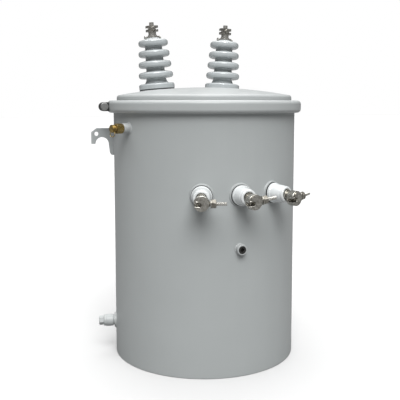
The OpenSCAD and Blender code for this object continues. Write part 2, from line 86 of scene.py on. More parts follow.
def setFloor(settings):
    # a square of paper that the camera sees as white, and that throws less light back at the object
    half = settings["floorSize"] / 2
    mesh = bpy.data.meshes.new("floor")
    mesh.from_pydata([(-half, -half, 0), (half, -half, 0), (half, half, 0), (-half, half, 0)],
                     [], [(0, 1, 2, 3)])
    floor = bpy.data.objects.new("floor", mesh)
    scene.collection.objects.link(floor)
    paper = bpy.data.materials.new("floorPaper")
    paper.use_nodes = True
    tree = paper.node_tree
    shader = tree.nodes["Principled BSDF"]
    shader.inputs["Roughness"].default_value = settings["paperRoughness"]
    seen = tree.nodes.new("ShaderNodeLightPath").outputs["Is Camera Ray"]
    shade = tree.nodes.new("ShaderNodeMapRange")
    shade.inputs["To Min"].default_value = settings["bounce"]
    shade.inputs["To Max"].default_value = settings["paper"]
    tree.links.new(seen, shade.inputs["Value"])
    tree.links.new(shade.outputs["Result"], shader.inputs["Base Color"])
    mesh.materials.append(paper)


def setLight(settings):
    # a wide soft key from beside the camera, wider ones overhead and behind, and an even fill
    world = bpy.data.worlds.new("studio")
    world.use_nodes = True
    tree = world.node_tree
    fill = tree.nodes["Background"]
    fill.inputs["Strength"].default_value = settings["fill"]
    fill.inputs["Color"].default_value = (1, 1, 1, 1)
    backdrop = tree.nodes.new("ShaderNodeBackground")
    backdrop.inputs["Strength"].default_value = settings["backdrop"]
    backdrop.inputs["Color"].default_value = (1, 1, 1, 1)
    path = tree.nodes.new("ShaderNodeLightPath")
    mix = tree.nodes.new("ShaderNodeMixShader")
    tree.links.new(path.outputs["Is Camera Ray"], mix.inputs[0])
    tree.links.new(fill.outputs[0], mix.inputs[1])
    tree.links.new(backdrop.outputs[0], mix.inputs[2])
    tree.links.new(mix.outputs[0], tree.nodes["World Output"].inputs[0])
    scene.world = world
    for name, values in settings["lamps"].items():
        data = bpy.data.lights.new(name, "SUN")
        data.energy = values["power"]
        data.angle = math.radians(values["angle"])
        lamp = bpy.data.objects.new(name, data)
        scene.collection.objects.link(lamp)
        lamp.rotation_euler = (math.radians(90 - values["elevation"]), 0, math.radians(values["azimuth"]))
    scene.view_settings.view_transform = "Standard"


setCamera(cameraView)
setFloor(studio)
setLight(studio)
print("camera, floor and light set")

# node groups that the materials share


def addNode(tree, kind, settings=None, inputs=None):
    # a node with its properties and its inputs, where an input is a value or another node's socket
    made = tree.nodes.new(kind)
    for name, value in (settings or {}).items():
        setattr(made, name, value)
    for name, value in (inputs or {}).items():
        if isinstance(value, bpy.types.NodeSocket):
            tree.links.new(value, made.inputs[name])
        else:
            made.inputs[name].default_value = value
    return made


def combine(tree, operation, first, second):
    # one sum, product or other operation on two values
    return addNode(tree, "ShaderNodeMath", {"operation": operation}, {0: first, 1: second}).outputs[0]


def spread(tree, value, low, high, toLow=0.0, toHigh=1.0):
    # the value carried in a straight line from one range to another, and held at its ends
    inputs = {"Value": value, "From Min": low, "From Max": high, "To Min": toLow, "To Max": toHigh}
    return addNode(tree, "ShaderNodeMapRange", None, inputs).outputs["Result"]


def blendColours(tree, factor, first, second):
    # first + factor * (second - first); the node's colours are its inputs 6 and 7 and its output 2
    mixer = addNode(tree, "ShaderNodeMix", {"data_type": "RGBA"})
    for index, value in ((0, factor), (6, first), (7, second)):
        if isinstance(value, bpy.types.NodeSocket):
            tree.links.new(value, mixer.inputs[index])
        else:
            mixer.inputs[index].default_value = value
    return mixer.outputs[2]


def noise(tree, place, scale, detail, roughness=0.5):
    # fractal noise between 0 and 1, with scale features to the metre
    inputs = {"Vector": place, "Scale": scale, "Detail": detail, "Roughness": roughness}
    return addNode(tree, "ShaderNodeTexNoise", None, inputs).outputs["Fac"]


def cutNoise(tree, place, look):
    # noise stretched so that it is 0 up to the low value and 1 from the high value on
    raw = noise(tree, place, look["scale"], look["detail"], look["roughness"])
    return spread(tree, raw, look["low"], look["high"])


def objectPlace(tree, stretch=(1, 1, 1)):
    # the point in metres, each axis multiplied by its own factor
    coordinate = addNode(tree, "ShaderNodeTexCoord").outputs["Object"]
    return addNode(tree, "ShaderNodeMapping", None, {"Vector": coordinate, "Scale": stretch}).outputs[0]


def startGroup(name, inputs, outputs):
    # a node group whose inputs start at the given values, where four numbers make a colour
    group = bpy.data.node_groups.new(name, "ShaderNodeTree")
    for label, value in inputs.items():
        kind = "NodeSocketColor" if isinstance(value, tuple) else "NodeSocketFloat"
        socket = group.interface.new_socket(name=label, in_out="INPUT", socket_type=kind)
        socket.default_value = value
    for label, kind in outputs.items():
        group.interface.new_socket(name=label, in_out="OUTPUT", socket_type=kind)
    source = group.nodes.new("NodeGroupInput")
    return group, source.outputs, group.nodes.new("NodeGroupOutput")


driftLook = {"detail": 4.0, "roughness": 0.55, "low": 0.3, "high": 0.7}


def makeToneDrift():
    # colour * (1 +- amount), following slow noise
    group, given, result = startGroup("toneDrift", {"Color": (0.5, 0.5, 0.5, 1), "Amount": 0.04,
                                                    "Scale": 8.0}, {"Color": "NodeSocketColor"})
    drift = noise(group, objectPlace(group), given["Scale"], driftLook["detail"], driftLook["roughness"])
    low = combine(group, "SUBTRACT", 1.0, given["Amount"])
    high = combine(group, "ADD", 1.0, given["Amount"])
    tone = spread(group, drift, driftLook["low"], driftLook["high"], low, high)
    scaled = addNode(group, "ShaderNodeVectorMath", {"operation": "SCALE"},
                     {0: given["Color"], "Scale": tone}).outputs[0]
    group.links.new(scaled, result.inputs["Color"])
    return group


reliefLook = {"fineDetail": 2.0, "broadDetail": 1.0}


def makeSkinRelief():
    # height in millimetres = fine noise * fine depth + broad noise * broad depth
    group, given, result = startGroup("skinRelief", {"Fine Scale": 500.0, "Fine Depth": 0.02,
                                                     "Broad Scale": 20.0, "Broad Depth": 0.2},
                                      {"Height": "NodeSocketFloat"})
    place = objectPlace(group)
    fine = noise(group, place, given["Fine Scale"], reliefLook["fineDetail"])
    broad = noise(group, place, given["Broad Scale"], reliefLook["broadDetail"])
    fine = combine(group, "MULTIPLY", fine, given["Fine Depth"])
    broad = combine(group, "MULTIPLY", broad, given["Broad Depth"])
    group.links.new(combine(group, "ADD", fine, broad), result.inputs["Height"])
    return group


dustLook = {"patches": {"scale": 26.0, "detail": 7.0, "roughness": 0.65, "low": 0.38, "high": 0.72},
            "runs": {"scale": 1.0, "detail": 5.0, "roughness": 0.6, "low": 0.52, "high": 0.8},
            "runStretch": (55, 55, 2.2), "runShare": 0.35, "upFrom": 0.25, "dulls": 0.5}


def makeDustFilm():
    # film = (patches where a face looks up + faint run marks down the walls) * amount
    group, given, result = startGroup("dustFilm", {"Color": (0.5, 0.5, 0.5, 1), "Dust": (0.6, 0.58, 0.53, 1),
                                                   "Amount": 0.2, "Roughness": 0.35},
                                      {"Color": "NodeSocketColor", "Roughness": "NodeSocketFloat"})
    normal = addNode(group, "ShaderNodeNewGeometry").outputs["Normal"]
    up = addNode(group, "ShaderNodeSeparateXYZ", None, {0: normal}).outputs["Z"]
    patches = cutNoise(group, objectPlace(group), dustLook["patches"])
    settled = combine(group, "MULTIPLY", spread(group, up, dustLook["upFrom"], 1.0), patches)
    runs = cutNoise(group, objectPlace(group, dustLook["runStretch"]), dustLook["runs"])
    film = combine(group, "ADD", settled, combine(group, "MULTIPLY", runs, dustLook["runShare"]))
    film = combine(group, "MULTIPLY", film, given["Amount"])
    group.links.new(blendColours(group, film, given["Color"], given["Dust"]), result.inputs["Color"])
    dulled = combine(group, "MULTIPLY", film, dustLook["dulls"])
    rougher = combine(group, "ADD", given["Roughness"], dulled)
    group.links.new(rougher, result.inputs["Roughness"])
    return group


rubAndGlintLook = {"edgeFrom": 0.53, "edgeTo": 0.6,
           "broken": {"scale": 160.0, "detail": 6.0, "roughness": 0.7, "low": 0.45, "high": 0.62}}


def makeEdgeRubAndGlint():
    # edge colour = standing edges * noise * amount; on paint it is real wear, on metals a lighter colour
    # that is partly wear and partly a painted highlight
    group, given, result = startGroup("edgeRubAndGlint", {"Color": (0.5, 0.5, 0.5, 1), "Wear And Glint": (0.3, 0.3, 0.3, 1),
                                                  "Amount": 0.5}, {"Color": "NodeSocketColor"})
    pointed = addNode(group, "ShaderNodeNewGeometry").outputs["Pointiness"]
    edge = spread(group, pointed, rubAndGlintLook["edgeFrom"], rubAndGlintLook["edgeTo"])
    broken = cutNoise(group, objectPlace(group), rubAndGlintLook["broken"])
    mask = combine(group, "MULTIPLY", combine(group, "MULTIPLY", edge, broken), given["Amount"])
    group.links.new(blendColours(group, mask, given["Color"], given["Wear And Glint"]), result.inputs["Color"])
    return group


tarnishAndShadeLook = {"patches": {"detail": 8.0, "roughness": 0.7, "low": 0.4, "high": 0.68},
               "hollowFrom": 0.5, "hollowTo": 0.43, "dulls": 0.35}


def makeTarnishAndShade():
    # stain and shade = the larger of patchy noise, which is a real stain, and the hollows, which are painted
    # shade, times the amount; both are rougher too
    group, given, result = startGroup("tarnishAndShade", {"Color": (0.5, 0.5, 0.5, 1), "Stain And Shade": (0.1, 0.09, 0.07, 1),
                                                  "Amount": 0.6, "Scale": 120.0, "Roughness": 0.3},
                                      {"Color": "NodeSocketColor", "Roughness": "NodeSocketFloat"})
    patches = cutNoise(group, objectPlace(group), {**tarnishAndShadeLook["patches"], "scale": given["Scale"]})
    # the hollows, where pointiness is low, take the dark stain colour as painted shade
    pointed = addNode(group, "ShaderNodeNewGeometry").outputs["Pointiness"]
    hollow = spread(group, pointed, tarnishAndShadeLook["hollowFrom"], tarnishAndShadeLook["hollowTo"])
    stainAndShade = combine(group, "MULTIPLY", combine(group, "MAXIMUM", patches, hollow), given["Amount"])
    group.links.new(blendColours(group, stainAndShade, given["Color"], given["Stain And Shade"]), result.inputs["Color"])
    dulled = combine(group, "MULTIPLY", stainAndShade, tarnishAndShadeLook["dulls"])
    rougher = combine(group, "ADD", given["Roughness"], dulled)
    group.links.new(rougher, result.inputs["Roughness"])
    return group


fleckLook = {"dotEdge": 0.16, "dotCore": 0.1,
             "sparse": {"scale": 70.0, "detail": 2.0, "roughness": 0.5, "low": 0.58, "high": 0.66}}


def makeFlecks():
    # specks = small dots at cell centres * sparse noise * amount
    group, given, result = startGroup("flecks", {"Color": (0.5, 0.5, 0.5, 1), "Fleck": (0.2, 0.2, 0.2, 1),
                                                 "Amount": 0.5, "Scale": 260.0},
                                      {"Color": "NodeSocketColor"})
    place = objectPlace(group)
    cells = addNode(group, "ShaderNodeTexVoronoi", None, {"Vector": place, "Scale": given["Scale"]})
    dots = spread(group, cells.outputs["Distance"], fleckLook["dotEdge"], fleckLook["dotCore"])
    sparse = cutNoise(group, place, fleckLook["sparse"])
    mask = combine(group, "MULTIPLY", combine(group, "MULTIPLY", dots, sparse), given["Amount"])
    group.links.new(blendColours(group, mask, given["Color"], given["Fleck"]), result.inputs["Color"])
    return group


toneDrift = makeToneDrift()
skinRelief = makeSkinRelief()
dustFilm = makeDustFilm()
edgeRubAndGlint = makeEdgeRubAndGlint()
tarnishAndShade = makeTarnishAndShade()
flecks = makeFlecks()
print("node groups made")

# materials


def startMaterial(name, fixed):
    # a material whose even values sit straight on the shader
    made = bpy.data.materials.new(name)
    made.use_nodes = True
    shader = made.node_tree.nodes["Principled BSDF"]
    for label, value in fixed.items():
        shader.inputs[label].default_value = value
    return made, made.node_tree, shader


def useGroup(tree, group, inputs):
    # one of the shared groups, with its inputs set or linked
    return addNode(tree, "ShaderNodeGroup", {"node_tree": group}, inputs).outputs


def giveRelief(tree, shader, fineScale, fineDepth, broadScale, broadDepth):
    # the relief's height, in millimetres, turned into a bump
    height = useGroup(tree, skinRelief, {"Fine Scale": fineScale, "Fine Depth": fineDepth,
                                         "Broad Scale": broadScale, "Broad Depth": broadDepth})["Height"]
    bump = addNode(tree, "ShaderNodeBump", None, {"Height": height, "Distance": mm, "Strength": 1.0})
    tree.links.new(bump.outputs["Normal"], shader.inputs["Normal"])


def giveDustedColour(tree, shader, colour, settings):
    # dust over the colour, and the roughness that comes with it
    film = useGroup(tree, dustFilm, {"Color": colour, "Dust": settings["dust"],
                                     "Amount": settings["film"], "Roughness": settings["roughness"]})
    tree.links.new(film["Color"], shader.inputs["Base Color"])
    tree.links.new(film["Roughness"], shader.inputs["Roughness"])


paintBase = {"driftScale": 6.0, "speck": 0.35, "speckScale": 220.0, "peelScale": 420.0, "waveScale": 14.0}


def makePaint(name, settings):
    # sprayed enamel: tone drift, specks, rubbed edges, dust and a light orange peel
    made, tree, shader = startMaterial(name, {"Specular IOR Level": settings["specular"]})
    tone = useGroup(tree, toneDrift, {"Color": settings["color"], "Amount": settings["drift"],
                                      "Scale": paintBase["driftScale"]})["Color"]
    specks = useGroup(tree, flecks, {"Color": tone, "Fleck": settings["dust"], "Amount": paintBase["speck"],
                                     "Scale": paintBase["speckScale"]})["Color"]
    rubbed = useGroup(tree, edgeRubAndGlint, {"Color": specks, "Wear And Glint": settings["bare"],
                                      "Amount": settings["rubAndGlint"]})["Color"]
    giveDustedColour(tree, shader, rubbed, settings)
    giveRelief(tree, shader, paintBase["peelScale"], settings["peel"], paintBase["waveScale"],
               settings["wave"])
    return made


glazeBase = {"specular": 0.6, "coat": 0.6, "coatRoughness": 0.04, "driftScale": 34.0, "speck": 0.6,
             "speckScale": 420.0, "grainScale": 240.0, "grain": 0.012, "waveScale": 24.0, "wave": 0.06}


def makeGlaze(name, settings):
    # fired glaze over porcelain: tone drift, specks in the glaze, dust and a faint unevenness
    made, tree, shader = startMaterial(name, {"Specular IOR Level": glazeBase["specular"],
                                              "Coat Weight": glazeBase["coat"],
                                              "Coat Roughness": glazeBase["coatRoughness"]})
    tone = useGroup(tree, toneDrift, {"Color": settings["color"], "Amount": settings["drift"],
                                      "Scale": glazeBase["driftScale"]})["Color"]
    specks = useGroup(tree, flecks, {"Color": tone, "Fleck": settings["fleck"], "Amount": glazeBase["speck"],
                                     "Scale": glazeBase["speckScale"]})["Color"]
    giveDustedColour(tree, shader, specks, settings)
    giveRelief(tree, shader, glazeBase["grainScale"], glazeBase["grain"], glazeBase["waveScale"],
               glazeBase["wave"])
    return made


metalBase = {"drift": 0.08, "driftScale": 60.0, "waveScale": 90.0}


def makeMetal(name, settings):
    # bare metal: tone drift, stains with painted shade in the hollows, edges lightened partly by wear and
    # partly as a painted highlight, and a cast or turned grain
    made, tree, shader = startMaterial(name, {"Metallic": settings["metallic"]})
    tone = useGroup(tree, toneDrift, {"Color": settings["color"], "Amount": metalBase["drift"],
                                      "Scale": metalBase["driftScale"]})["Color"]
    stainedAndShaded = useGroup(tree, tarnishAndShade, {"Color": tone, "Stain And Shade": settings["stainAndShade"],
                                       "Amount": settings["stainedAndShaded"], "Scale": settings["patch"],
                                       "Roughness": settings["roughness"]})
    edged = useGroup(tree, edgeRubAndGlint, {"Color": stainedAndShaded["Color"], "Wear And Glint": settings["edgeWearAndGlint"],
                                     "Amount": settings["rubAndGlint"]})["Color"]
    tree.links.new(edged, shader.inputs["Base Color"])
    tree.links.new(stainedAndShaded["Roughness"], shader.inputs["Roughness"])
    giveRelief(tree, shader, settings["grainScale"], settings["grain"], metalBase["waveScale"],
               settings["wave"])
    return made


def makeRubber(name, settings):
    # dull rubber: tone drift, dust and a moulded grain
    made, tree, shader = startMaterial(name, {"Specular IOR Level": settings["specular"]})
    tone = useGroup(tree, toneDrift, {"Color": settings["color"], "Amount": settings["drift"],
                                      "Scale": settings["driftScale"]})["Color"]
    giveDustedColour(tree, shader, tone, settings)
    giveRelief(tree, shader, settings["grainScale"], settings["grain"], settings["waveScale"],
               settings["wave"])
    return made


greyPaint = makePaint("greyPaint", {
    "color": (0.385, 0.406, 0.406, 1), "drift": 0.02, "dust": (0.56, 0.56, 0.54, 1),
    "bare": (0.22, 0.22, 0.22, 1), "rubAndGlint": 0.3, "film": 0.12, "roughness": 0.36,
    "specular": 0.3, "peel": 0.02, "wave": 0.35})
# a lighter copy of the tank's grey paint for the cover, band and high-voltage seats; the extra lightness is
# painted top light
litCoverPaint = makePaint("litCoverPaint", {
    "color": (0.405, 0.424, 0.424, 1), "drift": 0.025, "dust": (0.6, 0.6, 0.58, 1),
    "bare": (0.24, 0.24, 0.24, 1), "rubAndGlint": 0.3, "film": 0.16, "roughness": 0.33,
    "specular": 0.35, "peel": 0.02, "wave": 0.3})
# a lighter copy of the grey paint for the welded fittings; the extra lightness is painted light falling on
# them
litFittingPaint = makePaint("litFittingPaint", {
    "color": (0.425, 0.443, 0.443, 1), "drift": 0.03, "dust": (0.58, 0.58, 0.56, 1),
    "bare": (0.24, 0.24, 0.23, 1), "rubAndGlint": 0.6, "film": 0.15, "roughness": 0.34,
    "specular": 0.35, "peel": 0.03, "wave": 0.2})
skyGlaze = makeGlaze("skyGlaze", {
    "color": (0.44, 0.468, 0.476, 1), "drift": 0.05, "fleck": (0.24, 0.26, 0.27, 1),
    "dust": (0.6, 0.6, 0.58, 1), "film": 0.12, "roughness": 0.14})
whiteGlaze = makeGlaze("whiteGlaze", {
    "color": (0.72, 0.745, 0.75, 1), "drift": 0.03, "fleck": (0.5, 0.49, 0.46, 1),
    "dust": (0.66, 0.65, 0.62, 1), "film": 0.1, "roughness": 0.12})
blackRubber = makeRubber("blackRubber", {
    "color": (0.022, 0.022, 0.023, 1), "drift": 0.15, "driftScale": 50.0, "dust": (0.3, 0.3, 0.29, 1),
    "film": 0.3, "roughness": 0.62, "specular": 0.35, "grainScale": 900.0, "grain": 0.04,
    "waveScale": 60.0, "wave": 0.1})
# the metals' stain colours also darken their hollows as painted shade, and their lighter edge colours are
# partly wear and partly painted highlight
tinnedBronze = makeMetal("tinnedBronze", {
    "color": (0.56, 0.545, 0.5, 1), "metallic": 0.95, "stainAndShade": (0.1, 0.09, 0.07, 1), "stainedAndShaded": 0.75,
    "patch": 150.0, "edgeWearAndGlint": (0.92, 0.9, 0.87, 1), "rubAndGlint": 1.0, "roughness": 0.22,
    "grainScale": 700.0, "grain": 0.09, "wave": 0.25})
brightTin = makeMetal("brightTin", {
    "color": (0.72, 0.71, 0.67, 1), "metallic": 0.8, "stainAndShade": (0.2, 0.18, 0.14, 1), "stainedAndShaded": 0.5,
    "patch": 120.0, "edgeWearAndGlint": (0.9, 0.89, 0.86, 1), "rubAndGlint": 0.6, "roughness": 0.16,
    "grainScale": 700.0, "grain": 0.03, "wave": 0.1})
dullTin = makeMetal("dullTin", {
    "color": (0.3, 0.285, 0.25, 1), "metallic": 0.85, "stainAndShade": (0.08, 0.07, 0.055, 1), "stainedAndShaded": 0.7,
    "patch": 140.0, "edgeWearAndGlint": (0.7, 0.68, 0.64, 1), "rubAndGlint": 0.8, "roughness": 0.28,
    "grainScale": 800.0, "grain": 0.06, "wave": 0.2})
valveBrass = makeMetal("valveBrass", {
    "color": (0.52, 0.37, 0.13, 1), "metallic": 0.95, "stainAndShade": (0.06, 0.036, 0.01, 1), "stainedAndShaded": 0.9,
    "patch": 170.0, "edgeWearAndGlint": (0.95, 0.82, 0.5, 1), "rubAndGlint": 0.8, "roughness": 0.24,
    "grainScale": 900.0, "grain": 0.04, "wave": 0.12})
zincSteel = makeMetal("zincSteel", {
    "color": (0.36, 0.365, 0.36, 1), "metallic": 0.85, "stainAndShade": (0.1, 0.1, 0.095, 1), "stainedAndShaded": 0.55,
    "patch": 110.0, "edgeWearAndGlint": (0.7, 0.7, 0.69, 1), "rubAndGlint": 0.6, "roughness": 0.34,
    "grainScale": 800.0, "grain": 0.05, "wave": 0.15})
# the band's lugs are coloured near-black, far darker than the grey paint of the band they belong to
nearBlackLug = makeMetal("nearBlackLug", {
    "color": (0.07, 0.071, 0.071, 1), "metallic": 0.7, "stainAndShade": (0.03, 0.03, 0.029, 1), "stainedAndShaded": 0.6,
    "patch": 120.0, "edgeWearAndGlint": (0.5, 0.5, 0.49, 1), "rubAndGlint": 0.7, "roughness": 0.36,
    "grainScale": 800.0, "grain": 0.05, "wave": 0.15})
darkSteel = makeMetal("darkSteel", {
    "color": (0.07, 0.07, 0.068, 1), "metallic": 0.75, "stainAndShade": (0.03, 0.027, 0.024, 1), "stainedAndShaded": 0.6,
    "patch": 130.0, "edgeWearAndGlint": (0.4, 0.4, 0.39, 1), "rubAndGlint": 0.8, "roughness": 0.36,
    "grainScale": 800.0, "grain": 0.06, "wave": 0.15})
coreVarnish = makeMetal("coreVarnish", {
    "color": (0.2, 0.15, 0.1, 1), "metallic": 0.2, "stainAndShade": (0.07, 0.045, 0.025, 1), "stainedAndShaded": 0.6,
    "patch": 40.0, "edgeWearAndGlint": (0.35, 0.27, 0.18, 1), "rubAndGlint": 0.4, "roughness": 0.4,
    "grainScale": 300.0, "grain": 0.1, "wave": 0.5})
slotFinish = {"grey_paint": greyPaint, "grey_porcelain": skyGlaze, "white_porcelain": whiteGlaze,
              "gasket_rubber": blackRubber, "tinned_bronze": tinnedBronze, "valve_brass": valveBrass,
              "zinc_steel": zincSteel, "dark_steel": darkSteel, "core_steel": coreVarnish}
print("materials made")

# shapes on grids of points


def rotation(axis, degrees):
    # a turn about one axis, as a 4 by 4 matrix
    first, second = {"x": (1, 2), "y": (2, 0), "z": (0, 1)}[axis]
    turn = np.eye(4)
    turn[first, first] = turn[second, second] = math.cos(math.radians(degrees))
    turn[second, first] = math.sin(math.radians(degrees))
    turn[first, second] = -turn[second, first]
    return turn


def shift(x, y, z):
    # a move, as a 4 by 4 matrix
    move = np.eye(4)
    move[:3, 3] = x, y, z
    return move


def placed(points, place):
    # points as rows, carried by a 4 by 4 matrix
    return points @ place[:3, :3].T + place[:3, 3]


def outward(azimuth, height):
    # local Z points out of the tank at this angle from the front, local Y points up
    return rotation("z", azimuth) @ shift(0, 0, height) @ rotation("x", 90)


def gridPart(points, wrapRows=False, wrapColumns=False):
    # corners and quads of a grid of points, with its edges joined where it wraps
    rows, columns = points.shape[:2]
    row = np.arange(rows if wrapRows else rows - 1)[:, None]
    column = np.arange(columns if wrapColumns else columns - 1)[None, :]
    nextRow = (row + 1) % rows
    nextColumn = (column + 1) % columns
    quads = np.stack([row * columns + column, nextRow * columns + column,
                      nextRow * columns + nextColumn, row * columns + nextColumn], axis=-1)
    return points.reshape(-1, 3), quads.reshape(-1, 4)


nearlyStraight = 1.56  # half the angle at a corner, beyond which it needs no arc


def rounded(corners, steps=5):
    # a line through (x, y, radius) corners, each turned into an arc of its radius that meets both sides
    line = [np.array([corners[0][:2]], float)]
    for before, corner, after in zip(corners, corners[1:], corners[2:]):
        middle = np.array(corner[:2], float)
        back = np.array(before[:2]) - middle
        ahead = np.array(after[:2]) - middle
        back, ahead = back / np.linalg.norm(back), ahead / np.linalg.norm(ahead)
        half = math.acos(np.clip(back @ ahead, -1, 1)) / 2
        if corner[2] <= 0 or half > nearlyStraight:
            line.append(middle[None])
            continue
        centre = middle + (back + ahead) / np.linalg.norm(back + ahead) * corner[2] / math.sin(half)
        reach = corner[2] / math.tan(half)
        first, last = middle + back * reach - centre, middle + ahead * reach - centre
        sweep = math.pi - 2 * half
        part = np.linspace(0, 1, steps + 1)[:, None]
        arc = (np.sin((1 - part) * sweep) * first + np.sin(part * sweep) * last) / math.sin(sweep)
        line.append(centre + arc)
    line.append(np.array([corners[-1][:2]], float))
    return np.concatenate(line)


def divided(line, spacing):
    # the same line with its long stretches cut into even steps
    pieces = []
    for start, end in zip(line[:-1], line[1:]):
        count = max(1, math.ceil(np.linalg.norm(end - start) / spacing))
        pieces.append(start + (end - start) * np.arange(count)[:, None] / count)
    return np.concatenate(pieces + [line[-1:]])


def lathe(profile, place, segments=96, closed=False):
    # x = r cos a, y = r sin a, z = z over a profile of (r, z)
    angle = np.linspace(0, 2 * math.pi, segments, endpoint=False)[:, None]
    points = np.stack([profile[:, 0] * np.cos(angle), profile[:, 0] * np.sin(angle),
                       profile[:, 1] + 0 * angle], axis=-1)
    return gridPart(placed(points, place), True, closed)


hexagonShape = {"segments": 72, "slope": 1.73, "levels": 6}


def hexBody(flats, height, place, chamfer=0.96):
    # a hexagon's radius at each angle, cut down near both ends by a 30 degree cone
    slope = hexagonShape["slope"]
    angle = np.linspace(0, 2 * math.pi, hexagonShape["segments"], endpoint=False)[:, None]
    sideAngle = (angle + math.pi / 6) % (math.pi / 3) - math.pi / 6
    hexagon = flats / 2 / np.cos(sideAngle)
    depth = (flats / 2 / math.cos(math.pi / 6) - chamfer * flats / 2) / slope
    near = np.linspace(0, depth, hexagonShape["levels"])
    level = np.concatenate([[0], near, height - near[::-1], [height]])
    cone = chamfer * flats / 2 + slope * np.minimum(level, height - level)
    radius = np.minimum(hexagon, cone[None, :])
    radius[:, 0] = radius[:, -1] = 0
    points = np.stack([radius * np.cos(angle), radius * np.sin(angle), level[None, :] + 0 * angle], axis=-1)
    return gridPart(placed(points, place), True)


threadShape = {"levelsPerTurn": 7, "fewest": 8, "endShare": 0.82}


def threadedRod(diameter, start, end, pitch, place, depth=0.06, segments=36):
    # radius = outer radius less a triangle wave of (height / pitch - turn), with a cone at both ends
    count = int((end - start) / pitch * threadShape["levelsPerTurn"])
    level = np.linspace(start, end, max(threadShape["fewest"], count))
    angle = np.linspace(0, 2 * math.pi, segments, endpoint=False)[:, None]
    wave = np.abs(((level[None, :] / pitch - angle / (2 * math.pi)) % 1) * 2 - 1)
    radius = diameter / 2 * (1 - 2 * depth * wave)
    cone = diameter / 2 * threadShape["endShare"] + np.minimum(level - start, end - level)[None, :]
    radius = np.minimum(radius, cone)
    level = np.concatenate([[start], level, [end]])
    radius = np.concatenate([0 * radius[:, :1], radius, 0 * radius[:, :1]], axis=1)
    points = np.stack([radius * np.cos(angle), radius * np.sin(angle), level[None, :] + 0 * angle], axis=-1)
    return gridPart(placed(points, place), True)


slabSteps = 5


def slab(outline, thickness, edge, place):
    # an anticlockwise outline in XY, thick along Z, with quarter rounds of radius edge at both rims
    ahead = np.roll(outline, -1, axis=0) - np.roll(outline, 1, axis=0)
    inward = np.stack([-ahead[:, 1], ahead[:, 0]], axis=1) / np.linalg.norm(ahead, axis=1)[:, None]
    turn = np.linspace(0, math.pi / 2, slabSteps)
    inset = np.concatenate([edge * (1 - np.sin(turn)), edge * (1 - np.cos(turn))])
    level = np.concatenate([edge * (1 - np.cos(turn)), thickness - edge * (1 - np.sin(turn))])
    rings = [np.column_stack([outline + inward * i, np.full(len(outline), z)]) for i, z in zip(inset, level)]
    points, sides = gridPart(placed(np.stack(rings, axis=1), place), True)
    first = np.arange(len(outline)) * len(rings)
    return points, sides.tolist() + [first.tolist(), (first[::-1] + len(rings) - 1).tolist()]


def tube(path, radius, sides=10, closed=False):
    # circles of the given radii carried along a path, square to it
    radius = np.broadcast_to(radius, len(path))
    ahead = np.roll(path, -1, axis=0) - np.roll(path, 1, axis=0)
    if not closed:
        ahead[0], ahead[-1] = path[1] - path[0], path[-1] - path[-2]
    ahead /= np.linalg.norm(ahead, axis=1)[:, None]
    guide = np.eye(3)[np.argmin(np.ptp(path, axis=0))]  # the axis along which the path runs least
    first = np.cross(ahead, guide)
    first /= np.linalg.norm(first, axis=1)[:, None]
    second = np.cross(ahead, first)
    angle = np.linspace(0, 2 * math.pi, sides, endpoint=False)
    points = (path[:, None] + radius[:, None, None] * (first[:, None] * np.cos(angle)[None, :, None]
                                                       + second[:, None] * np.sin(angle)[None, :, None]))
    if not closed:
        points = np.concatenate([np.repeat(path[:1, None], sides, 1), points,
                                 np.repeat(path[-1:, None], sides, 1)])
    return gridPart(points, closed, True)


def joined(parts):
    # several point and face lists as one, with the face corners counted on
    faces = []
    start = 0
    for points, sides in parts:
        faces += [[corner + start for corner in side] for side in np.asarray(sides, dtype=object).tolist()]
        start += len(points)
    return np.concatenate([points for points, sides in parts]).tolist(), faces


def finishPiece(name, mesh, material, replaced, sharp):
    # smooth faces with sharp edges beyond an angle, one material, and its place in the assembly
    mesh.polygons.foreach_set("use_smooth", np.ones(len(mesh.polygons), dtype=bool))
    mesh.set_sharp_from_angle(angle=math.radians(sharp))
    mesh.materials.clear()
    mesh.materials.append(material)
    piece = bpy.data.objects.new(name, mesh)
    scene.collection.objects.link(piece)
    weighted = piece.modifiers.new("flatFaces", "WEIGHTED_NORMAL")  # keeps broad faces evenly lit
    weighted.keep_sharp = True
    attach(piece, "root")
    if replaced:
        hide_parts(*replaced)
    return piece


meshCare = {"near": 1e-6, "thin": 1e-7, "nearInSolid": 2e-6, "flat": 0.6, "corner": 28}


def addPiece(name, parts, material, replaced=(), sharp=32):
    # a piece made of closed shapes, with doubled points merged and faces turned outward
    points, faces = joined(parts)
    mesh = bpy.data.meshes.new(name)
    mesh.from_pydata(points, [], faces)
    work = bmesh.new()
    work.from_mesh(mesh)
    bmesh.ops.remove_doubles(work, verts=work.verts, dist=meshCare["near"])
    bmesh.ops.dissolve_degenerate(work, dist=meshCare["thin"], edges=work.edges)
    bmesh.ops.recalc_face_normals(work, faces=work.faces)
    work.to_mesh(mesh)
    work.free()
    return finishPiece(name, mesh, material, replaced, sharp)


def easedCopy(node, name, material, edge, steps=3, sharp=32):
    # a merged copy of a CAD solid with its sharp edges rounded
    work = bmesh.new()
    work.from_mesh(nodes[node].data)
    bmesh.ops.remove_doubles(work, verts=work.verts, dist=meshCare["nearInSolid"])
    flat = math.radians(meshCare["flat"])
    corner = math.radians(meshCare["corner"])
    bmesh.ops.dissolve_limit(work, angle_limit=flat, verts=work.verts, edges=work.edges)
    edges = [e for e in work.edges if len(e.link_faces) == 2 and e.calc_face_angle() > corner]
    bmesh.ops.bevel(work, geom=edges, offset=edge, offset_type="OFFSET", segments=steps, profile=0.5,
                    affect="EDGES", clamp_overlap=True, miter_outer="ARC")
    mesh = bpy.data.meshes.new(name)
    work.to_mesh(mesh)
    work.free()
    return finishPiece(name, mesh, material, (node,), sharp)


# sizes that several pieces share, some of them read from the frame

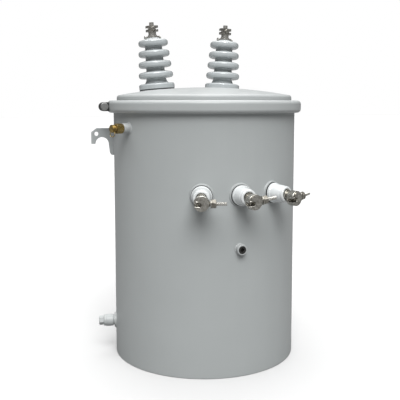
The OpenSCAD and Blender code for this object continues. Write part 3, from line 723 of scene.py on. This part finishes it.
tank = {"wall": 3 * mm, "top": float(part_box("tank_wall")[1][2]), "rimHeight": 9 * mm, "rimOut": 10 * mm,
        "footEdge": 2 * mm, "underRimEdge": 1 * mm, "rimLowEdge": 3 * mm, "rimTopEdge": 1 * mm,
        "spacing": 12 * mm, "segments": 360, "wave": 0.3 * mm,
        # share, times round, slope and start of each slow wave
        "waves": ((0.5, 3, 4, 0), (0.3, 7, -5, 1), (0.2, 11, 9, 2))}
tank["radius"] = float(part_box("tank_bottom")[1][0]) + tank["wall"]
band = {"radius": float(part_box("cover_band")[1][0]), "low": float(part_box("cover_band")[0][2]),
        "high": float(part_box("cover_band")[1][2]), "sheet": 3 * mm, "corner": 10 * mm, "topGap": 3 * mm,
        "lowGap": 0.5 * mm, "gap": 24 * mm, "jointAzimuth": -96, "segments": 300, "steps": 8}
cover = {"crown": float(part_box("cover")[1][2]), "brimLow": float(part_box("cover")[0][2]),
         "collarIn": 9 * mm, "shoulder": 8 * mm, "rise": 21 * mm, "sheet": 3 * mm, "brimHeight": 11 * mm,
         "brimEdge": 3 * mm, "underShoulder": 4 * mm, "capPoints": 40, "shoulderPoints": 10,
         "spacing": 12 * mm, "segments": 180}
cover["collar"] = tank["radius"] - cover["collarIn"]
cover["edge"] = cover["collar"] - cover["shoulder"]
cover["sphere"] = (cover["edge"] ** 2 + cover["rise"] ** 2) / (2 * cover["rise"])
cover["centre"] = cover["crown"] - cover["sphere"]


def tankDepth(x):
    # distance of the tank's face from its axis plane, at a sideways distance of x
    return np.sqrt(tank["radius"] ** 2 - x ** 2)


# tank


def makeTank():
    # the wall's profile turned round the axis, pushed in and out by slow waves between foot and rim
    r = tank["radius"]
    inner = r - tank["wall"]
    out = r + tank["rimOut"]
    low = tank["top"] - tank["rimHeight"]
    corners = [(inner, 0, 0), (r, 0, tank["footEdge"]), (r, low, tank["underRimEdge"]),
               (out, low, tank["rimLowEdge"]), (out, tank["top"], tank["rimTopEdge"]),
               (inner, tank["top"], 0)]
    profile = divided(rounded(corners), tank["spacing"])
    angle = np.linspace(0, 2 * math.pi, tank["segments"], endpoint=False)[:, None]
    level = profile[None, :, 1] / tank["top"]
    free = np.sin(np.clip(level, 0, 1) * math.pi) * (profile[None, :, 0] == r)
    wave = sum(share * np.sin(times * angle + slope * level + start)
               for share, times, slope, start in tank["waves"])
    radius = profile[None, :, 0] + tank["wave"] * wave * free
    points = np.stack([radius * np.sin(angle), -radius * np.cos(angle),
                       profile[None, :, 1] + 0 * angle], axis=-1)
    addPiece("tankWall", [gridPart(points, True, True)], greyPaint, ("tank_wall",))


weld = {"perRipple": 6, "ripple": 0.05, "pitch": 2.8 * mm, "fewest": 12, "taper": 0.35,
        "ringDrift": 0.08, "ringTimes": 3, "ringSides": 12, "lineDrift": 0.07, "lineTimes": 90,
        "lineSides": 10}


def weldRing(azimuth, height, ring, bead, count):
    # a bead where a round fitting meets the tank, its size following count ripples and a slow drift
    angle = np.linspace(0, 2 * math.pi, count * weld["perRipple"], endpoint=False)
    x, y = ring * np.cos(angle), ring * np.sin(angle)
    path = placed(np.stack([x, y, tankDepth(x)], axis=-1), outward(azimuth, height))
    size = bead * (1 + weld["ripple"] * np.cos(count * angle)
                   + weld["ringDrift"] * np.sin(weld["ringTimes"] * angle + azimuth))
    return tube(path, size, weld["ringSides"], closed=True)


def weldLine(start, end, bead):
    # a straight bead, its size following ripples and a slow drift, and falling off at both ends
    length = np.linalg.norm(np.subtract(end, start))
    count = max(weld["fewest"], int(length / weld["pitch"] * weld["perRipple"]))
    part = np.linspace(0, 1, count)[:, None]
    path = np.asarray(start) + np.subtract(end, start) * part
    run = part[:, 0] * length
    size = bead * (1 + weld["ripple"] * np.cos(2 * math.pi * run / weld["pitch"])
                   + weld["lineDrift"] * np.sin(run * weld["lineTimes"]))
    size *= np.clip(np.minimum(run, length - run) / (2 * bead) + weld["taper"], weld["taper"], 1)
    return tube(path, size, weld["lineSides"])


seam = {"azimuth": 156, "bead": 1.6 * mm, "low": 4 * mm, "underRim": 2 * mm}


def makeSeam():
    # the upright weld that closes the rolled wall
    turn = math.radians(seam["azimuth"])
    x, y = tank["radius"] * math.sin(turn), -tank["radius"] * math.cos(turn)
    top = tank["top"] - tank["rimHeight"] - seam["underRim"]
    addPiece("tankSeamWeld", [weldLine((x, y, seam["low"]), (x, y, top), seam["bead"])],
             greyPaint)


makeTank()
makeSeam()
print("tank made")

# cover and clamp band


def makeCover():
    # sphere cap, rounded shoulder, straight collar and brim, closed underneath
    crown, sphere, t = cover["crown"], cover["sphere"], cover["sheet"]
    lean = math.asin(cover["edge"] / sphere)
    cap = np.linspace(0, lean, cover["capPoints"])
    outer = np.stack([sphere * np.sin(cap), cover["centre"] + sphere * np.cos(cap)], axis=-1)
    turn = np.linspace(math.pi / 2 - lean, 0, cover["shoulderPoints"])
    top = crown - cover["rise"] - cover["shoulder"]
    shoulder = np.stack([cover["edge"] + cover["shoulder"] * np.cos(turn),
                         top + cover["shoulder"] * np.sin(turn)], axis=-1)
    brim = tank["radius"] + tank["rimOut"]
    brimTop = cover["brimLow"] + cover["brimHeight"]
    low = [(cover["collar"], brimTop), (brim - cover["brimEdge"], brimTop),
           (brim, brimTop - cover["brimEdge"]), (brim, cover["brimLow"]),
           (cover["collar"] - t, cover["brimLow"]), (cover["collar"] - t, top),
           (cover["edge"] - t, top + cover["underShoulder"])]
    back = cap[::-1][2:]
    under = np.stack([sphere * np.sin(back), cover["centre"] - t + sphere * np.cos(back)], axis=-1)
    profile = divided(np.concatenate([outer, shoulder[1:], low, under]), cover["spacing"])
    addPiece("coverDome", [lathe(profile, np.eye(4), cover["segments"])], litCoverPaint,
             ("cover",))


def bandSection():
    # the band's C section as an outer and an inner line of as many points
    r, t, c = band["radius"], band["sheet"], band["corner"]
    low, high = band["low"], band["high"]
    topIn, lowIn = cover["collar"] + band["topGap"], tank["radius"] + band["lowGap"]
    outer = rounded([(topIn, high, 0), (r, high, c), (r, low, c), (lowIn, low, 0)], band["steps"])
    inner = rounded([(topIn, high - t, 0), (r - t, high - t, c - t), (r - t, low + t, c - t),
                     (lowIn, low + t, 0)], band["steps"])
    return outer, inner


def makeBand():
    # the C section carried round the rim from one side of the joint to the other, closed at both ends
    outer, inner = bandSection()
    loop = np.concatenate([outer, inner[::-1]])
    half = math.asin(band["gap"] / 2 / band["radius"])
    joint = math.radians(band["jointAzimuth"])
    angle = np.linspace(joint + half, joint + 2 * math.pi - half, band["segments"])[:, None]
    points = np.stack([loop[:, 0] * np.sin(angle), -loop[:, 0] * np.cos(angle), loop[:, 1] + 0 * angle],
                      axis=-1)
    hoop, quads = gridPart(points, False, True)
    count, rows = len(outer), len(angle)
    step = np.arange(count - 1)
    strip = np.stack([step, step + 1, 2 * count - 2 - step, 2 * count - 1 - step], axis=-1)
    caps = np.concatenate([strip, strip + (rows - 1) * 2 * count])
    addPiece("clampBand", [(hoop, np.concatenate([quads, caps]))], litCoverPaint,
             ("cover_band",))


bandJoint = {"out": 12 * mm, "lugThick": 5 * mm, "lugRadius": 12 * mm, "lugFoot": 6 * mm,
             "lugEdge": 1.2 * mm, "lugPoints": 24, "bolt": 12 * mm, "pitch": 1.75 * mm,
             "flatsPerBolt": 1.6, "head": 8 * mm, "nut": 10 * mm, "pastNut": 16 * mm, "sunk": 1 * mm,
             "washerShare": 0.56, "washer": 1.6 * mm, "washerLowEdge": 0.3 * mm,
             "washerEdge": 0.5 * mm, "washerSunk": 0.2 * mm}


def makeBandJoint():
    # two round-ended lugs, and a bolt through them with its head, washers and nut
    j = bandJoint
    middle = (band["low"] + band["high"]) / 2
    boltLine = (rotation("z", band["jointAzimuth"]) @ shift(0, -(band["radius"] + j["out"]), middle)
                @ rotation("y", 90))
    size = j["lugRadius"]
    foot = size + j["lugFoot"]
    turn = np.linspace(math.pi, 0, j["lugPoints"])
    outline = np.concatenate([[(size, foot), (-size, foot)],
                              np.stack([size * np.cos(turn), -size * np.sin(turn)], axis=-1)])
    lugs = [slab(outline, j["lugThick"], j["lugEdge"], boltLine @ shift(0, 0, low))
            for low in (band["gap"] / 2, -band["gap"] / 2 - j["lugThick"])]
    addPiece("bandLugs", lugs, nearBlackLug)
    face = band["gap"] / 2 + j["lugThick"]
    flats = j["bolt"] * j["flatsPerBolt"]
    rim = flats * j["washerShare"]
    washer = rounded([(0, 0, 0), (rim, 0, j["washerLowEdge"]), (rim, j["washer"], j["washerEdge"]),
                      (0, j["washer"], 0)], steps=3)
    head = [hexBody(flats, j["head"], boltLine @ shift(0, 0, face)),
            lathe(washer, boltLine @ shift(0, 0, face - j["washerSunk"]), segments=48),
            threadedRod(j["bolt"], -face - j["pastNut"], face + j["sunk"], j["pitch"], boltLine)]
    addPiece("bandBolt", head, zincSteel, ("band_bolt",))
    nut = [hexBody(flats, j["nut"], boltLine @ shift(0, 0, -face - j["nut"])),
           lathe(washer, boltLine @ shift(0, 0, -face - j["washer"] + j["washerSunk"]), segments=48)]
    addPiece("bandNut", nut, zincSteel, ("band_nut",))


makeCover()
makeBand()
makeBandJoint()
print("cover and band made")


def raisedSeat(place, radius, top, rows, surface, segments):
    # rings of (share of the radius, lift, sink) at surface * (1 - lift) + top * lift + sink
    angle = np.linspace(0, 2 * math.pi, segments, endpoint=False)
    rings = []
    for share, lift, sink in rows:
        flat = np.stack([np.cos(angle), np.sin(angle)], axis=-1) * radius * share
        rings.append(np.column_stack([flat, surface(flat) * (1 - lift) + top * lift + sink]))
    return gridPart(placed(np.stack(rings, axis=1), place), True)


# high-voltage bushings

highBushing = {"x": 101 * mm, "y": 112 * mm, "leanOut": 4.25, "leanBack": 2.2, "segments": 128,
               "flange": 50.75 * mm, "flangeHeight": 15 * mm, "flangeEdge": 1.2 * mm,
               "flangeRound": 5 * mm, "footOut": 5 * mm, "footRise": 1.5 * mm, "footRound": 8 * mm,
               "sheds": 4, "firstShed": 39.4 * mm, "pitch": 30.2 * mm, "shedRadius": 49 * mm,
               "shedStep": 2.35 * mm, "rim": 7.75 * mm, "rimFlat": 0.8 * mm, "neck": 27.25 * mm,
               "neckStep": 0.95 * mm, "underDrop": 1.5 * mm, "underRound": 2.5 * mm,
               "overRise": 4 * mm, "overRound": 3 * mm, "shoulder": 19 * mm, "shoulderOut": 3 * mm,
               "shoulderDrop": 3.5 * mm, "shoulderRound": 5 * mm, "top": 145 * mm, "topEdge": 1.5 * mm,
               "eased": {"cap": 0.6 * mm, "clamp": 1.2 * mm, "screw": 0.8 * mm}}
highSeat = {"out": 3 * mm, "segments": 96,
            "rows": ((0, 1, 0), (0.9, 1, 0), (1, 1, 0), (1.02, 0.9, 0), (1.035, 0.7, 0), (1.045, 0.4, 0),
                     (1.065, 0.12, 0), (1.1, 0, 0), (1.1, 0, -3 * mm), (0, 0, -3 * mm))}
highGasket = {"thick": 3 * mm, "bore": 20 * mm, "setBack": 0.6 * mm, "edge": 1.4 * mm, "segments": 96}


def highPlace(side):
    # on the gasket, on the seat's top, leaning outwards and back
    h = highBushing
    reach = math.hypot(h["x"], h["y"])
    base = (cover["centre"] + math.sqrt(cover["sphere"] ** 2 - reach ** 2)
            + highSeat["out"] + highGasket["thick"])
    return (shift(side * h["x"], h["y"], base) @ rotation("y", side * h["leanOut"])
            @ rotation("x", -h["leanBack"]))


def highProfile():
    # from the flange's under side, over the sheds' round rims, to the shoulder under the cap
    h = highBushing
    corners = [(0, 0, 0), (h["flange"], 0, h["flangeEdge"]),
               (h["flange"], h["flangeHeight"], h["flangeRound"]),
               (h["neck"] + h["footOut"], h["flangeHeight"] + h["footRise"], h["footRound"])]
    rimRound = h["rim"] - h["rimFlat"]
    for shed in range(h["sheds"]):
        level = h["firstShed"] + shed * h["pitch"]
        low, high = level - h["rim"], level + h["rim"]
        radius = h["shedRadius"] - shed * h["shedStep"]
        under, over = (h["neck"] - (shed + step) * h["neckStep"] for step in (0, 1))
        corners += [(under, low - h["underDrop"], h["underRound"]), (radius, low, rimRound),
                    (radius, high, rimRound)]
        if shed < h["sheds"] - 1:
            corners.append((over, high + h["overRise"], h["overRound"]))
    corners += [(h["shoulder"] + h["shoulderOut"], h["top"] - h["shoulderDrop"], h["shoulderRound"]),
                (h["shoulder"], h["top"], h["topEdge"]), (0, h["top"], 0)]
    return rounded(corners, steps=8)


def domeLift(flat, place):
    # height along the bushing's own axis at which it meets the cover's sphere
    start = placed(np.column_stack([flat, np.zeros(len(flat))]), place)
    offset = start - np.array([0, 0, cover["centre"]])
    along = offset @ place[:3, 2]
    return -along + np.sqrt(along ** 2 - (offset ** 2).sum(axis=1) + cover["sphere"] ** 2)


def makeHighBushing(side, name):
    # porcelain turned from its profile, on a gasket and a raised seat, with its metal top
    h, g = highBushing, highGasket
    place = highPlace(side)
    addPiece("highBushing_" + name, [lathe(highProfile(), place, h["segments"])], skyGlaze,
             ("hv_bushing_" + name,), sharp=50)
    seat = raisedSeat(place, h["flange"], -g["thick"], highSeat["rows"],
                      lambda flat: domeLift(flat, place), highSeat["segments"])
    addPiece("highSeat_" + name, [seat], litCoverPaint)
    rim = h["flange"] - g["setBack"]
    gasket = rounded([(g["bore"], -g["thick"], 0), (rim, -g["thick"], g["edge"]), (rim, 0, g["edge"]),
                      (g["bore"], 0, 0)], steps=4)
    addPiece("highGasket_" + name, [lathe(gasket, place, g["segments"], closed=True)], blackRubber,
             ("hv_gasket_" + name,))
    for part, metal in (("cap", brightTin), ("clamp", tinnedBronze), ("screw", tinnedBronze)):
        easedCopy("hv_" + part + "_" + name, "high" + part.capitalize() + "_" + name, metal,
                  h["eased"][part])


for side, name in ((-1, "left"), (1, "right")):
    makeHighBushing(side, name)
print("high-voltage bushings made")

# low-voltage bushings

lowBushing = {"height": 467 * mm, "step": 22.5, "rolls": (0, 9, 8), "reach": 50 * mm, "segments": 96,
              "foot": 25.75 * mm, "footEdge": 1.5 * mm, "footHigh": 7 * mm, "footRound": 2 * mm,
              "coneIn": 1.6 * mm, "coneLow": 9 * mm, "coneLowRound": 1.2 * mm, "coneOut": 1.2 * mm,
              "coneBack": 11 * mm, "coneRound": 6 * mm, "end": 20 * mm, "endBack": 8 * mm,
              "endBackRound": 4 * mm, "endRound": 3.2 * mm, "recess": 14 * mm, "recessDeep": 5 * mm,
              "recessRound": 1 * mm, "recessFloorRound": 0.5 * mm, "studEased": 0.7 * mm}
lowSeat = {"radius": 28.5 * mm, "out": 3 * mm, "segments": 80,
           "rows": ((0, 1, 0), (0.95, 1, 0), (0.99, 0.97, 0), (1.01, 0.88, 0), (1.025, 0.7, 0),
                    (1.04, 0.4, 0), (1.06, 0.14, 0), (1.1, 0, -0.02 * mm), (1.1, 0, -2 * mm),
                    (0, 0, -2 * mm))}
lowGasket = {"thick": 2.5 * mm, "bore": 18 * mm, "past": 1 * mm, "edge": 1.1 * mm, "segments": 72}
eye = {"radius": 19 * mm, "side": 1 * mm, "drop": 8 * mm, "thick": 20 * mm, "edge": 1.6 * mm,
       "out": 21 * mm, "points": 48, "bore": 6 * mm, "boreSide": 5 * mm, "boreDrop": 10 * mm,
       "borePoints": 30, "slot": 9 * mm, "lipTurn": 0.2, "lipIn": 2.2 * mm, "plate": 3.6 * mm,
       "plateIn": 0.4 * mm, "plateEdge": 1.2 * mm, "platePoints": 72, "overlap": 1 * mm,
       "ribs": (3.6 * mm, 16.4 * mm), "ribEnds": (-12.5 * mm, -1.5 * mm), "ribRadius": 1.3 * mm,
       "teeth": (7 * mm, 10 * mm, 13 * mm), "toothEnds": (-15 * mm, 0), "toothRadius": 1.2 * mm}
shank = {"drop": 9 * mm, "diameter": 9.5 * mm, "start": 16 * mm, "reach": 61 * mm, "pitch": 1.25 * mm,
         "depth": 0.035, "collar": 8.5 * mm, "collarEnd": 8 * mm, "neck": 5.6 * mm,
         "collarFrom": 12 * mm, "collarTo": 18 * mm, "neckTo": 21.5 * mm, "washer": 11 * mm,
         "washerFrom": 22.4 * mm, "washerTo": 24.9 * mm, "washerEdge": 0.6 * mm, "nutAt": 25 * mm,
         "nutThick": 11 * mm, "nutFlats": 19 * mm, "nutTurn": 12}


def lowProfile():
    # foot, cone and round end, with a recess in the end for the stud
    s = lowBushing
    base = tank["radius"] + lowSeat["out"] + lowGasket["thick"]
    end = tank["radius"] + s["reach"]
    corners = [(0, base, 0), (s["foot"], base, s["footEdge"]),
               (s["foot"], base + s["footHigh"], s["footRound"]),
               (s["foot"] - s["coneIn"], base + s["coneLow"], s["coneLowRound"]),
               (s["end"] + s["coneOut"], end - s["coneBack"], s["coneRound"]),
               (s["end"], end - s["endBack"], s["endBackRound"]), (s["end"], end, s["endRound"]),
               (s["recess"], end, s["recessRound"]),
               (s["recess"], end - s["recessDeep"], s["recessFloorRound"]), (0, end - s["recessDeep"], 0)]
    return rounded(corners, steps=7)


def eyeOutline():
    # round the disc from the slot's lower lip to its upper lip, then back round the bore
    half = eye["slot"] / 2
    up = math.asin((half + eye["drop"] - eye["boreDrop"]) / eye["radius"])
    down = math.asin((half - eye["drop"] + eye["boreDrop"]) / eye["radius"])
    disc = np.linspace(math.pi + down + eye["lipTurn"], 3 * math.pi - up - eye["lipTurn"], eye["points"])
    mouth = math.pi - math.asin(half / eye["bore"])
    bore = np.linspace(mouth, -mouth, eye["borePoints"])
    around = np.stack([eye["side"] + eye["radius"] * np.cos(disc),
                       eye["radius"] * np.sin(disc) - eye["drop"]], axis=-1)
    back = np.stack([eye["bore"] * np.cos(bore) - eye["boreSide"],
                     eye["bore"] * np.sin(bore) - eye["boreDrop"]], axis=-1)
    lip = eye["side"] - eye["radius"] + eye["lipIn"]
    return np.concatenate([around, [(lip, half - eye["boreDrop"])], back,
                           [(lip, -half - eye["boreDrop"])]])


ribShape = {"points": 14, "endShare": 0.5, "swell": 5, "sides": 10}


def rib(ends, drop, level, radius, place):
    # a straight bar, half sunk in the face below it, that swells from half its radius at both ends
    part = np.linspace(0, 1, ribShape["points"])[:, None]
    start, end = (np.array([side, -drop, level]) for side in ends)
    path = placed(start + (end - start) * part, place)
    swell = ribShape["endShare"] + ribShape["swell"] * np.minimum(part, 1 - part)[:, 0]
    return tube(path, radius * np.minimum(1, swell), ribShape["sides"])


def eyeParts(terminal, boltLine):
    # the slotted eye on its back plate, ribs over and inside the slot, and a collar and washer
    front = tank["radius"] + lowBushing["reach"] + eye["out"] + eye["thick"] / 2
    back = front - eye["thick"]
    turn = np.linspace(0, 2 * math.pi, eye["platePoints"], endpoint=False)
    size = eye["radius"] - eye["plateIn"]
    plate = np.stack([eye["side"] + size * np.cos(turn), size * np.sin(turn) - eye["drop"]], axis=-1)
    parts = [slab(plate, eye["plate"], eye["plateEdge"], terminal @ shift(0, 0, back)),
             slab(eyeOutline(), eye["thick"] - eye["overlap"], eye["edge"],
                  terminal @ shift(0, 0, back + eye["overlap"]))]
    parts += [rib(eye["ribEnds"], drop, front, eye["ribRadius"], terminal) for drop in eye["ribs"]]
    parts += [rib(eye["toothEnds"], drop, back + eye["plate"], eye["toothRadius"], terminal)
              for drop in eye["teeth"]]
    b = shank
    collar = rounded([(0, b["collarFrom"], 0), (b["collar"], b["collarFrom"], 0),
                      (b["collarEnd"], b["collarTo"], 2 * mm), (b["neck"], b["neckTo"], 1 * mm),
                      (0, b["neckTo"], 0)], steps=4)
    washer = rounded([(0, b["washerFrom"], 0), (b["washer"], b["washerFrom"], b["washerEdge"]),
                      (b["washer"], b["washerTo"], b["washerEdge"]), (0, b["washerTo"], 0)], steps=4)
    return parts + [lathe(collar, boltLine, segments=40), lathe(washer, boltLine, segments=48)]


def makeLowBushing(index):
    # seat, porcelain and gasket at its own angle, then the stud, eye, shank and nut
    s, g, b = lowBushing, lowGasket, shank
    azimuth = (index - 2) * s["step"]
    place = outward(azimuth, s["height"])
    name = str(index)
    base = tank["radius"] + lowSeat["out"]
    seat = raisedSeat(place, lowSeat["radius"], base, lowSeat["rows"],
                      lambda flat: tankDepth(flat[:, 0]), lowSeat["segments"])
    addPiece("lowSeat_" + name, [seat], greyPaint)
    addPiece("lowBushing_" + name, [lathe(lowProfile(), place, s["segments"])], whiteGlaze,
             ("lv_bushing_" + name,), sharp=50)
    rim = s["foot"] + g["past"]
    ring = rounded([(g["bore"], base, 0), (rim, base, g["edge"]), (rim, base + g["thick"], g["edge"]),
                    (g["bore"], base + g["thick"], 0)], steps=4)
    addPiece("lowGasket_" + name, [lathe(ring, place, g["segments"], closed=True)], blackRubber,
             ("lv_gasket_" + name,))
    easedCopy("lv_stud_" + name, "lowStud_" + name, tinnedBronze, s["studEased"])
    terminal = place @ rotation("z", s["rolls"][index - 1])
    boltLine = terminal @ shift(0, -b["drop"], tank["radius"] + s["reach"] + eye["out"]) @ rotation("y", 90)
    addPiece("lowEye_" + name, eyeParts(terminal, boltLine), tinnedBronze,
             ("lv_eyebolt_" + name,), sharp=40)
    rod = threadedRod(b["diameter"], b["start"], b["reach"], b["pitch"], boltLine, b["depth"])
    addPiece("lowShank_" + name, [rod], brightTin)
    nut = hexBody(b["nutFlats"], b["nutThick"],
                  boltLine @ shift(0, 0, b["nutAt"]) @ rotation("z", b["nutTurn"]))
    addPiece("lowNut_" + name, [nut], dullTin, ("lv_nut_" + name,))


for index in (1, 2, 3):
    makeLowBushing(index)
print("low-voltage bushings made")

# relief valve, drain and side plug

relief = {"azimuth": -72, "height": 629.5 * mm, "coupling": 13 * mm, "couplingBore": 8.5 * mm,
          "couplingOut": 19 * mm, "boreDeep": 16 * mm, "sunk": 8 * mm, "boreEdge": 0.6 * mm,
          "couplingEdge": 1.2 * mm, "bead": 2.2 * mm, "ripples": 26, "flats": 22.5 * mm,
          "hexLong": 21 * mm, "hexTurn": 8, "neck": 7.5 * mm, "neckLong": 3 * mm, "neckSunk": 2 * mm,
          "neckPast": 1 * mm, "capRadius": 10 * mm, "capLong": 9 * mm, "capLevels": 60,
          "grooves": 3, "grooveDeep": 0.16, "capEnd": 0.86, "capSlope": 4, "ring": 6.5 * mm,
          "wire": 1 * mm, "ringPoints": 48, "ringDrop": 7.5 * mm, "ringBack": 4 * mm, "ringTurn": 35}


def reliefCap(start):
    # radius = cap radius * (1 - depth * half a wave for each groove), narrower at both ends
    r = relief
    level = np.linspace(0, 1, r["capLevels"])
    groove = 0.5 - 0.5 * np.cos(level * 2 * math.pi * r["grooves"])
    end = np.minimum(1, r["capEnd"] + r["capSlope"] * np.minimum(level, 1 - level))
    side = np.stack([r["capRadius"] * (1 - r["grooveDeep"] * groove) * end, start + level * r["capLong"]],
                    axis=-1)
    return np.concatenate([[(0, start)], side, [(0, start + r["capLong"])]])


def makeRelief():
    # a welded coupling, the valve's hexagon, neck and grooved cap, and a ring through the cap
    r = relief
    place = outward(r["azimuth"], r["height"])
    start = tank["radius"] + r["couplingOut"]
    foot = tank["radius"] - r["sunk"]
    coupling = rounded([(r["couplingBore"], start - r["boreDeep"], 0),
                        (r["couplingBore"], start, r["boreEdge"]), (r["coupling"], start, r["couplingEdge"]),
                        (r["coupling"], foot, 0), (r["couplingBore"], foot, 0)], steps=4)
    parts = [lathe(coupling, place, segments=64, closed=True),
             weldRing(r["azimuth"], r["height"], r["coupling"], r["bead"], r["ripples"])]
    addPiece("reliefCoupling", parts, litFittingPaint, ("relief_coupling",))
    hexEnd = start + r["hexLong"]
    capStart = hexEnd + r["neckLong"]
    neckLow, neckHigh = hexEnd - r["neckSunk"], capStart + r["neckPast"]
    neck = np.array([(0, neckLow), (r["neck"], neckLow), (r["neck"], neckHigh), (0, neckHigh)])
    valve = [hexBody(r["flats"], r["hexLong"], place @ shift(0, 0, start) @ rotation("z", r["hexTurn"])),
             lathe(neck, place, segments=48), lathe(reliefCap(capStart), place, segments=64)]
    addPiece("reliefValve", valve, valveBrass, ("relief_valve",))
    angle = np.linspace(0, 2 * math.pi, r["ringPoints"], endpoint=False)
    loop = np.stack([r["ring"] * np.sin(angle), r["ring"] * np.cos(angle) - r["ring"], 0 * angle], axis=-1)
    hang = (place @ shift(0, -r["ringDrop"], capStart + r["capLong"] - r["ringBack"])
            @ rotation("y", r["ringTurn"]))
    addPiece("reliefRing", [tube(placed(loop, hang), r["wire"], closed=True)], valveBrass,
             ("relief_ring",))


drain = {"azimuth": -101.5, "height": 88 * mm, "collar": 20 * mm, "collarBore": 13 * mm,
         "collarOut": 5 * mm, "collarEdge": 1.5 * mm, "sunk": 10 * mm, "bead": 2.4 * mm, "ripples": 36,
         "body": 16.5 * mm, "bodyLong": 30 * mm, "bodySunk": 2 * mm, "waistIn": 2.5 * mm,
         "waistLong": 3 * mm, "waistEdge": 0.8 * mm, "bodyStart": 4.5 * mm, "bodyEdge": 1.5 * mm,
         "stepIn": 1 * mm, "stepFrom": 7 * mm, "stepTo": 6 * mm, "endEdge": 2 * mm,
         "headFlats": 22 * mm, "headLong": 13 * mm, "headTurn": 20, "headChamfer": 0.93}


def makeDrain():
    # a welded collar, the stepped body and the plug's hexagon
    d = drain
    place = outward(d["azimuth"], d["height"])
    face = tank["radius"] + d["collarOut"]
    foot = tank["radius"] - d["sunk"]
    collar = rounded([(d["collarBore"], foot, 0), (d["collar"], foot, 0),
                      (d["collar"], face, d["collarEdge"]), (d["collarBore"], face, 0)], steps=4)
    parts = [lathe(collar, place, segments=72, closed=True),
             weldRing(d["azimuth"], d["height"], d["collar"], d["bead"], d["ripples"])]
    addPiece("drainCollar", parts, litFittingPaint, ("drain_coupling",))
    end = face + d["bodyLong"]
    waist, step = d["body"] - d["waistIn"], d["body"] - d["stepIn"]
    body = rounded([(0, face - d["bodySunk"], 0), (waist, face - d["bodySunk"], 0),
                    (waist, face + d["waistLong"], d["waistEdge"]),
                    (d["body"], face + d["bodyStart"], d["bodyEdge"]),
                    (d["body"], end - d["stepFrom"], d["stepIn"]), (step, end - d["stepTo"], d["waistEdge"]),
                    (step, end, d["endEdge"]), (0, end, 0)], steps=5)
    addPiece("drainBody", [lathe(body, place, segments=72)], litFittingPaint, ("drain_valve",))
    head = hexBody(d["headFlats"], d["headLong"],
                   place @ shift(0, 0, end) @ rotation("z", d["headTurn"]), d["headChamfer"])
    addPiece("drainPlug", [head], litFittingPaint, ("drain_plug",))


sidePlug = {"azimuth": 0, "height": 331 * mm, "coupling": 13 * mm, "bore": 10 * mm, "out": 14 * mm,
            "sunk": 6 * mm, "outerEdge": 1.4 * mm, "innerEdge": 0.8 * mm, "bead": 2 * mm, "ripples": 26,
            "eased": 0.5 * mm}


def makeSidePlug():
    # a welded coupling ring round the plug
    p = sidePlug
    place = outward(p["azimuth"], p["height"])
    face = tank["radius"] + p["out"]
    foot = tank["radius"] - p["sunk"]
    ring = rounded([(p["bore"], foot, 0), (p["coupling"], foot, 0), (p["coupling"], face, p["outerEdge"]),
                    (p["bore"], face, p["innerEdge"]), (p["bore"], foot, 0)], steps=5)
    parts = [lathe(ring[:-1], place, segments=64, closed=True),
             weldRing(p["azimuth"], p["height"], p["coupling"], p["bead"], p["ripples"])]
    addPiece("sideCoupling", parts, litFittingPaint, ("side_coupling",))
    easedCopy("side_plug", "sidePlug", darkSteel, p["eased"])


makeRelief()
makeDrain()
makeSidePlug()
print("valve, drain and side plug made")

# lifting lugs and pole hangers

lug = {"azimuth": 109.5, "top": 625 * mm, "height": 75 * mm, "thickness": 8 * mm, "bead": 2.6 * mm,
       "lowGap": 2 * mm, "topGap": 1 * mm, "eased": 1 * mm}
hanger = {"levels": {"lower_hanger": 235 * mm, "upper_hanger": 520.75 * mm}, "azimuth": 180,
          "width": 92 * mm, "height": 110 * mm, "bead": 2.8 * mm, "gap": 2 * mm, "eased": 1.2 * mm}


def wallPoint(azimuth, sideways, height):
    # a point on the tank's face, at a sideways distance from the plane through the axis
    x, y = sideways, -tankDepth(sideways)
    turn = math.radians(azimuth)
    return (x * math.cos(turn) - y * math.sin(turn), x * math.sin(turn) + y * math.cos(turn), height)


def edgeWelds(azimuth, halfWidth, low, high, bead):
    # two upright beads, one along each side of a plate or channel
    sides = (-halfWidth, halfWidth)
    return [weldLine(wallPoint(azimuth, side, low), wallPoint(azimuth, side, high), bead) for side in sides]


for side, name in ((-1, "left"), (1, "right")):
    easedCopy("lifting_lug_" + name, "liftingLug_" + name, greyPaint, lug["eased"])
    low = lug["top"] - lug["height"] + lug["lowGap"]
    high = lug["top"] - lug["topGap"]
    welds = edgeWelds(side * lug["azimuth"], lug["thickness"] / 2, low, high, lug["bead"])
    addPiece("lugWelds_" + name, welds, greyPaint)
for node, level in hanger["levels"].items():
    name = "hanger_" + node.split("_")[0]
    easedCopy(node, name, greyPaint, hanger["eased"])
    half = hanger["height"] / 2 - hanger["gap"]
    welds = edgeWelds(hanger["azimuth"], hanger["width"] / 2, level - half, level + half, hanger["bead"])
    addPiece(name + "Welds", welds, greyPaint)
print("lugs and hangers made")

# the CAD pieces take the finish of their slot

for part in record["subparts"]:
    data = nodes[part["node"]].data
    data.materials.clear()
    data.materials.append(slotFinish[part["material_slot"]])
